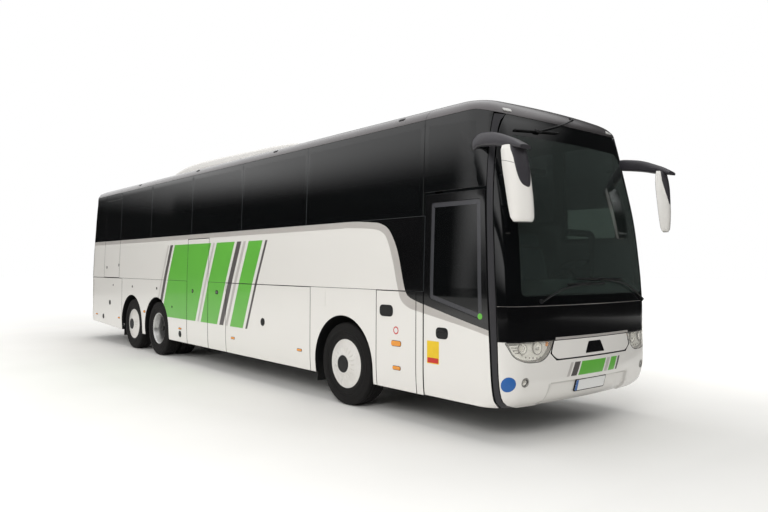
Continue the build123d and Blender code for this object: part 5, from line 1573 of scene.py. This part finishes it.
# Marker lamps on the front cap, a blank plate and reflectors on the rear
shape = newShape()
for side in (-1, 1):
    slab(shape, onFront, [(side * 917 + a, b) for a, b in oblong(0, 3292, 110, 34)],
         [(-3, 0), (7, 0), (12, 5), (13, 10)], clearMarker)
makePiece("capMarkers", shape, "coach")
shape = newShape()
slab(shape, onRear, oblong(0, 610, 560, 150, 10), [(-1, 0), (0.6, 0), (0.9, 1)], absBlack)
slab(shape, onRear, oblong(0, 610, 520, 114, 5), [(0.5, 0), (1.6, 0), (1.9, 0.8)], plateWhite)
for y in (-980, 980):
    slab(shape, onRear, oblong(acrossOf(y, 610, True), 610, 130, 46, 12), [(-1, 0), (5, 0), (8, 4)], redLens)
makePiece("rearTrim", shape, "coach")
shape = newShape()
slab(shape, onRear, oblong(0, 845, 150, 40, 12), [(-1, 0), (1.2, 0), (1.8, 1)], absBlack)
makePiece("engineLidHandle", shape, "engine_lid")
print("fittings made")

# Inside: seats with sewn cushions, the driver's place and the dashboard
seat = {"first": 500.0, "pitch": 780.0, "rows": 12, "places": (520.0, 935.0), "wide": 415.0, "floor": 1410.0}


def pad(shape, origin, along, up, size, material, channels=(), crown=0.1):
    # a stuffed pad: a crowned closed form with sewn channels, along and up are its axes in the x-z plane
    ahead, high = np.array([along[0], 0, along[1]]), np.array([up[0], 0, up[1]])
    long, wide, thick = size
    rows = []
    for v in np.linspace(-1, 1, 13):
        end = max(0.06, 1 - abs(v) ** 7) ** 0.4
        sew = sum(0.10 * math.exp(-((v - c) / 0.06) ** 2) for c in channels)
        row = []
        for k in range(20):
            t = 2 * math.pi * k / 20
            ct, st = math.cos(t), math.sin(t)
            a = long / 2 * math.copysign(abs(ct) ** 0.45, ct) * (0.93 + 0.07 * end)
            grow = 1 + crown * (1 - v * v) - sew if st > 0 else 1
            b = thick / 2 * math.copysign(abs(st) ** 0.62, st) * (0.7 + 0.3 * end) * grow
            row.append(tuple(np.array(origin) + ahead * a + high * b + np.array([0, v * wide / 2, 0])))
        rows.append(row)
    strip(shape, rows[::-1], material, loop=True)
    addFaces(shape, rows[0], [list(range(20))[::-1]], material)
    addFaces(shape, rows[-1], [list(range(20))], material)


def seatAt(shape, s, y, floor, wide):
    lean = (-170 / 730.0, 710 / 730.0)
    pad(shape, (s + 262, y, floor + 384), (0.999, 0.02), (-0.02, 0.999), (404, wide - 8, 92), seatPlush,
        (-0.45, 0.45))
    pad(shape, (s - 8, y, floor + 690), lean, (lean[1], -lean[0]), (520, wide - 8, 84), seatPlush,
        (-0.45, 0.45))
    pad(shape, (s - 98, y, floor + 1046), lean, (lean[1], -lean[0]), (165, wide - 80, 74), seatPlush)


shape, legs = newShape(), newShape()
for k in range(seat["rows"]):
    s = seat["first"] - seat["pitch"] * k
    for side in (-1, 1):
        if side < 0 and (-5090 < s < -3580 or -9450 < s < -8100):
            continue
        for y in seat["places"]:
            seatAt(shape, s, side * y, seat["floor"], seat["wide"])
        box(legs, (s + 40, side * 725 - 30, seat["floor"] + 2),
            (s + 400, side * 725 + 30, seat["floor"] + 326), absBlack, 8)
        for y in (305, 1148):
            tube(legs, [(s + 300, side * y, seat["floor"] + 560), (s + 120, side * y, seat["floor"] + 575),
                        (s - 20, side * y, seat["floor"] + 560)], 14.0, absBlack, 8)
seats = makePiece("passengerSeatPads", shape, "coach", ["passenger_seats"], 60)
makePiece("passengerSeatFrames", legs, "coach", ["passenger_seats"])
shape = newShape()
seatAt(shape, 1420, 620, 1000, 490)
driver = makePiece("driverSeatPads", shape, "coach", ["driver_seat"], 60)
shape = newShape()
box(shape, (1470, 470, 1002), (1820, 770, 1320), absBlack, 20)
makePiece("driverSeatBase", shape, "coach", ["driver_seat"])

shape = newShape()
dash = smooth([(2150, 1001), (2080, 1250), (2022, 1430), (2040, 1520), (2090, 1572), (2180, 1600),
               (2330, 1572), (2480, 1480), (2600, 1400), (2636, 1200), (2640, 1001)], 4)
rows = []
for y in np.linspace(-418, 1198, 34):
    hood = 26 * math.exp(-((y - 620) / 230) ** 4)
    squeeze = 1 - 0.02 * (abs((y - 390) / 808) ** 8)
    row = [(2330 + (s - 2330) * squeeze, y, z + (hood - 26 if z > 1500 and s < 2300 else 0)) for s,
           z in dash]
    # kept behind the screen and the corner posts
    rows.append([(min(s, onFront(acrossOf(y, z), z, 70)[0]), y, z) for s, y, z in row])
strip(shape, rows, dashSkin)
addFaces(shape, rows[0], [list(range(len(dash)))], dashSkin)
addFaces(shape, rows[-1], [list(range(len(dash)))[::-1]], dashSkin)
makePiece("dashboardMoulding", shape, "coach", ["dashboard"], 50)
shape = newShape()
tube(shape, [(2370, 450, 1540), (2370, 450, 2030), (2370, 438, 2062), (2370, 405, 2080),
             (2370, -30, 2086)], 38.0,
     absBlack, 12)
makePiece("screenArm", shape, "coach")

shape = newShape()
centre, axis = np.array([1960.0, 620.0, 1700.0]), np.array([-0.46947, 0.0, 0.88295])
sideways = np.array([0.0, 1.0, 0.0])
forward = np.cross(sideways, axis)
rows = []
for k in range(64):
    t = 2 * math.pi * k / 64
    ray = sideways * math.sin(t) + forward * math.cos(t)
    rows.append([tuple(centre + ray * (225 + 15.5 * math.cos(q)) + axis * 15.5 * math.sin(q))
                 for q in (2 * math.pi * j / 10 for j in range(10))])
strip(shape, rows, absBlack, closed=True, loop=True)
for t in (math.pi / 2, -math.pi / 2, math.pi * 0.86, -math.pi * 0.86):
    ray = sideways * math.sin(t) + forward * math.cos(t)
    tube(shape, [centre + ray * 222, centre + ray * 140 - axis * 8, centre + ray * 60 - axis * 12], 11.0,
         absBlack, 8)
lathe(shape, [(-30, 0.5), (-30, 62), (-22, 70), (-6, 70), (0, 62), (3, 0.5)], tuple(centre), tuple(axis),
      absBlack, 32)
tube(shape, [centre - axis * 20, centre - axis * 120], 24.0, absBlack, 12)
makePiece("steeringWheelRim", shape, "steering_wheel", ["steering_wheel"], 40)
print("inside made")

# Finishes of the parts that show as they are
looks = {"air_springs": bellows, "arch_liners": absBlack, "deck": floorVinyl, "luggage_bays": floorVinyl,
         "engine": castIron, "front_axle": castIron, "rear_axles": castIron, "underframe": chassisPaint,
         "knuckle_left": castIron, "knuckle_right": castIron, "tie_rod": chassisPaint, "mud_flaps": bellows,
         "luggage_racks": absGrey, "front_door_arm": zincSteel, "middle_door_arm": zincSteel}
for name, paint in looks.items():
    for slotAt in nodes[name].material_slots:
        slotAt.material = paint
print("kept parts finished")

# Floor, backdrop, soft lights and the camera
studio = {"keyPower": 1150.0, "fillPower": 680.0, "farPower": 800.0, "topPower": 640.0,
          "worldStrength": 0.62,
          "floorNear": 2.8, "floorFar": 8.5, "floorGlow": 0.6, "flagTone": "#0c0c0c"}


def studioFloor():
    material = bpy.data.materials.new("paintedStudioFloor")  # matt paint: soft shadows, no gloss
    material.use_nodes = True
    tree = material.node_tree
    shader = tree.nodes["Principled BSDF"]
    shader.inputs["Roughness"].default_value = 0.9
    place = addNode(tree, "ShaderNodeTexCoord").outputs["Object"]
    cloud = addNode(tree, "ShaderNodeTexNoise", {"Scale": 0.6, "Detail": 2.0}, {"Vector": place})
    tone = twoTones(tree, "#eeece8", "#e6e4df", cloud.outputs[0])
    tree.links.new(tone, shader.inputs["Base Color"])
    # away from the coach the floor fades into the white backdrop, as a paper sweep does
    squashed = addNode(tree, "ShaderNodeVectorMath", {"operation": "MULTIPLY", 1: (0.42, 1.0, 1.0)},
                       {0: place})
    away = addNode(tree, "ShaderNodeVectorMath", {"operation": "LENGTH"}, {0: squashed.outputs[0]})
    fade = addNode(tree, "ShaderNodeMapRange", {1: studio["floorNear"], 2: studio["floorFar"], 3: 0.0,
                                                4: studio["floorGlow"]}, {0: away.outputs["Value"]})
    rays = addNode(tree, "ShaderNodeLightPath")
    shown = joined(tree, "MULTIPLY", fade.outputs[0], rays.outputs["Is Camera Ray"])
    glow = addNode(tree, "ShaderNodeEmission", {"Color": linear("#ffffff")}, {"Strength": shown})
    both = addNode(tree, "ShaderNodeAddShader", links={0: shader.outputs[0], 1: glow.outputs[0]})
    tree.links.new(both.outputs[0], tree.nodes["Material Output"].inputs["Surface"])
    mesh = bpy.data.meshes.new("studioFloor")
    mesh.from_pydata([(-90, -90, 0), (90, -90, 0), (90, 90, 0), (-90, 90, 0)], [], [(0, 1, 2, 3)])
    mesh.materials.append(material)
    floor = bpy.data.objects.new("studioFloor", mesh)
    bpy.context.scene.collection.objects.link(floor)


def studioWorld():
    # a plain pale room: white to the eye and in reflections, softer as a light
    world = bpy.data.worlds.new("studioRoom")
    bpy.context.scene.world = world
    world.use_nodes = True
    tree = world.node_tree
    tree.nodes.clear()
    rays = addNode(tree, "ShaderNodeLightPath")
    place = addNode(tree, "ShaderNodeTexCoord").outputs["Generated"]
    axes = addNode(tree, "ShaderNodeSeparateXYZ", links={0: place})
    height = addNode(tree, "ShaderNodeMapRange", {1: -0.05, 2: 0.45, 3: 0.0, 4: 1.0}, {0: axes.outputs["Z"]})
    room = twoTones(tree, "#c9c8c4", "#f4f6f8", height.outputs[0])
    lit = addNode(tree, "ShaderNodeBackground", {"Strength": studio["worldStrength"]}, {"Color": room})
    seen = addNode(tree, "ShaderNodeBackground", {"Strength": 1.0, "Color": linear("#ffffff")})
    either = joined(tree, "MAXIMUM", rays.outputs["Is Camera Ray"], rays.outputs["Is Glossy Ray"])
    straight = joined(tree, "MAXIMUM", either, rays.outputs["Is Transmission Ray"])
    pick = addNode(tree, "ShaderNodeMixShader", links={0: straight, 1: lit.outputs[0], 2: seen.outputs[0]})
    addNode(tree, "ShaderNodeOutputWorld", links={"Surface": pick.outputs[0]})


def softLight(name, place, aim, size, power):
    lamp = bpy.data.lights.new(name, "AREA")
    lamp.shape = "RECTANGLE"
    lamp.size, lamp.size_y = size
    lamp.energy = power
    made = bpy.data.objects.new(name, lamp)
    made.location = place
    made.rotation_euler = (Vector(aim) - Vector(place)).to_track_quat("-Z", "Y").to_euler()
    made.visible_glossy = False                      # no hard lamp shapes in the glass
    bpy.context.scene.collection.objects.link(made)


def blackFlag(name, at, turn, wide, tall, soft=0.12, depth="Z", full=0.35):
    # a dark cloth beside the set, as in a studio: it only shows in the reflections of the glass
    material = bpy.data.materials.new("blackFlagCloth" + name)  # woven wool serge, matt
    material.use_nodes = True
    tree = material.node_tree
    shader = tree.nodes["Principled BSDF"]
    shader.inputs["Roughness"].default_value = 0.95
    cloud = addNode(tree, "ShaderNodeTexNoise", {"Scale": 0.8, "Detail": 2.0})
    tone = twoTones(tree, studio["flagTone"], "#151515", cloud.outputs[0])
    tree.links.new(tone, shader.inputs["Base Color"])
    # its edges thin out, so that the reflections end softly
    place = addNode(tree, "ShaderNodeTexCoord").outputs["Generated"]
    axes = addNode(tree, "ShaderNodeSeparateXYZ", links={0: place})
    fade = [addNode(tree, "ShaderNodeMapRange", {"interpolation_type": "SMOOTHSTEP", 1: low, 2: high,
                                                 3: 0.0, 4: 1.0}, {0: axes.outputs[axis]}).outputs[0]
            for axis, low, high in (("X", 0.0, soft), ("X", 1.0, 1.0 - soft), (depth, 1.0, full))]
    sides = joined(tree, "MULTIPLY", fade[0], fade[1])
    share = joined(tree, "MULTIPLY", sides, fade[2])
    bare = addNode(tree, "ShaderNodeBsdfTransparent")
    cloth = addNode(tree, "ShaderNodeMixShader", links={0: share, 1: bare.outputs[0], 2: shader.outputs[0]})
    tree.links.new(cloth.outputs[0], tree.nodes["Material Output"].inputs["Surface"])
    mesh = bpy.data.meshes.new(name)
    corners = rect(-wide / 2, 0, wide / 2, tall)
    mesh.from_pydata([(a, 0, b) if depth == "Z" else (a, b, 0) for a, b in corners], [], [(0, 1, 2, 3)])
    mesh.materials.append(material)
    flag = bpy.data.objects.new(name, mesh)
    flag.location = at
    flag.rotation_euler = (0, 0, math.radians(turn))
    flag.visible_camera = flag.visible_diffuse = flag.visible_shadow = flag.visible_transmission = False
    bpy.context.scene.collection.objects.link(flag)


studioFloor()
studioWorld()
softLight("keyPanel", (13.0, -13.0, 10.0), (1.0, -1.0, 1.0), (9.0, 6.0), studio["keyPower"])
softLight("fillPanel", (-8.0, -15.0, 8.0), (-2.0, 0.0, 1.5), (12.0, 6.0), studio["fillPower"])
softLight("farPanel", (0.0, 15.0, 8.0), (0.0, 0.0, 1.5), (14.0, 6.0), studio["farPower"])
softLight("topPanel", (-1.0, 0.0, 12.0), (-1.0, 0.0, 0.0), (16.0, 8.0), studio["topPower"])
blackFlag("flagRight", (-37.0, -24.0, 0.0), 0.0, 44.0, 11.5, 0.05, full=0.7)
blackFlag("flagDoor", (8.0, -24.2, 0.0), 0.0, 50.0, 7.0, 0.05, full=0.3)
blackFlag("flagOverDoor", (8.0, -24.4, 7.4), 0.0, 50.0, 3.8, 0.05, full=0.25)
blackFlag("flagLeft", (0.0, 24.0, 0.0), 0.0, 90.0, 26.0, full=0.6)
blackFlag("flagFront", (30.0, 0.0, 0.0), 90.0, 60.0, 28.0, 0.08, full=0.5)
blackFlag("flagRear", (-30.0, 0.0, 0.0), 90.0, 56.0, 9.4, full=0.55)
blackFlag("floorFlagFront", (7.6, 0.0, 0.02), -90.0, 52.0, 22.4, 0.2, "Y", 0.97)

eye = {"place": (10.4495, -6.206, 1.703), "yaw": 50.30, "pitch": 0.917, "roll": 0.241, "lens": 31.71}
yaw, pitch, roll = (math.radians(eye[k]) for k in ("yaw", "pitch", "roll"))
ahead = Vector((-math.sin(yaw) * math.cos(pitch), math.cos(yaw) * math.cos(pitch), math.sin(pitch)))
across = ahead.cross(Vector((0, 0, 1))).normalized()
over = across.cross(ahead)
right = across * math.cos(roll) + over * math.sin(roll)
up = over * math.cos(roll) - across * math.sin(roll)
camera = bpy.data.objects.new("viewCamera", bpy.data.cameras.new("viewCamera"))
camera.data.lens = eye["lens"]
camera.data.sensor_width = 36.0
camera.data.clip_end = 200.0
camera.matrix_world = Matrix((
    (right.x, up.x, -ahead.x, eye["place"][0]), (right.y, up.y, -ahead.y, eye["place"][1]),
    (right.z, up.z, -ahead.z, eye["place"][2]), (0, 0, 0, 1)))
bpy.context.scene.collection.objects.link(camera)
bpy.context.scene.camera = camera
bpy.context.scene.view_settings.view_transform = "Standard"
print("lights and camera set")
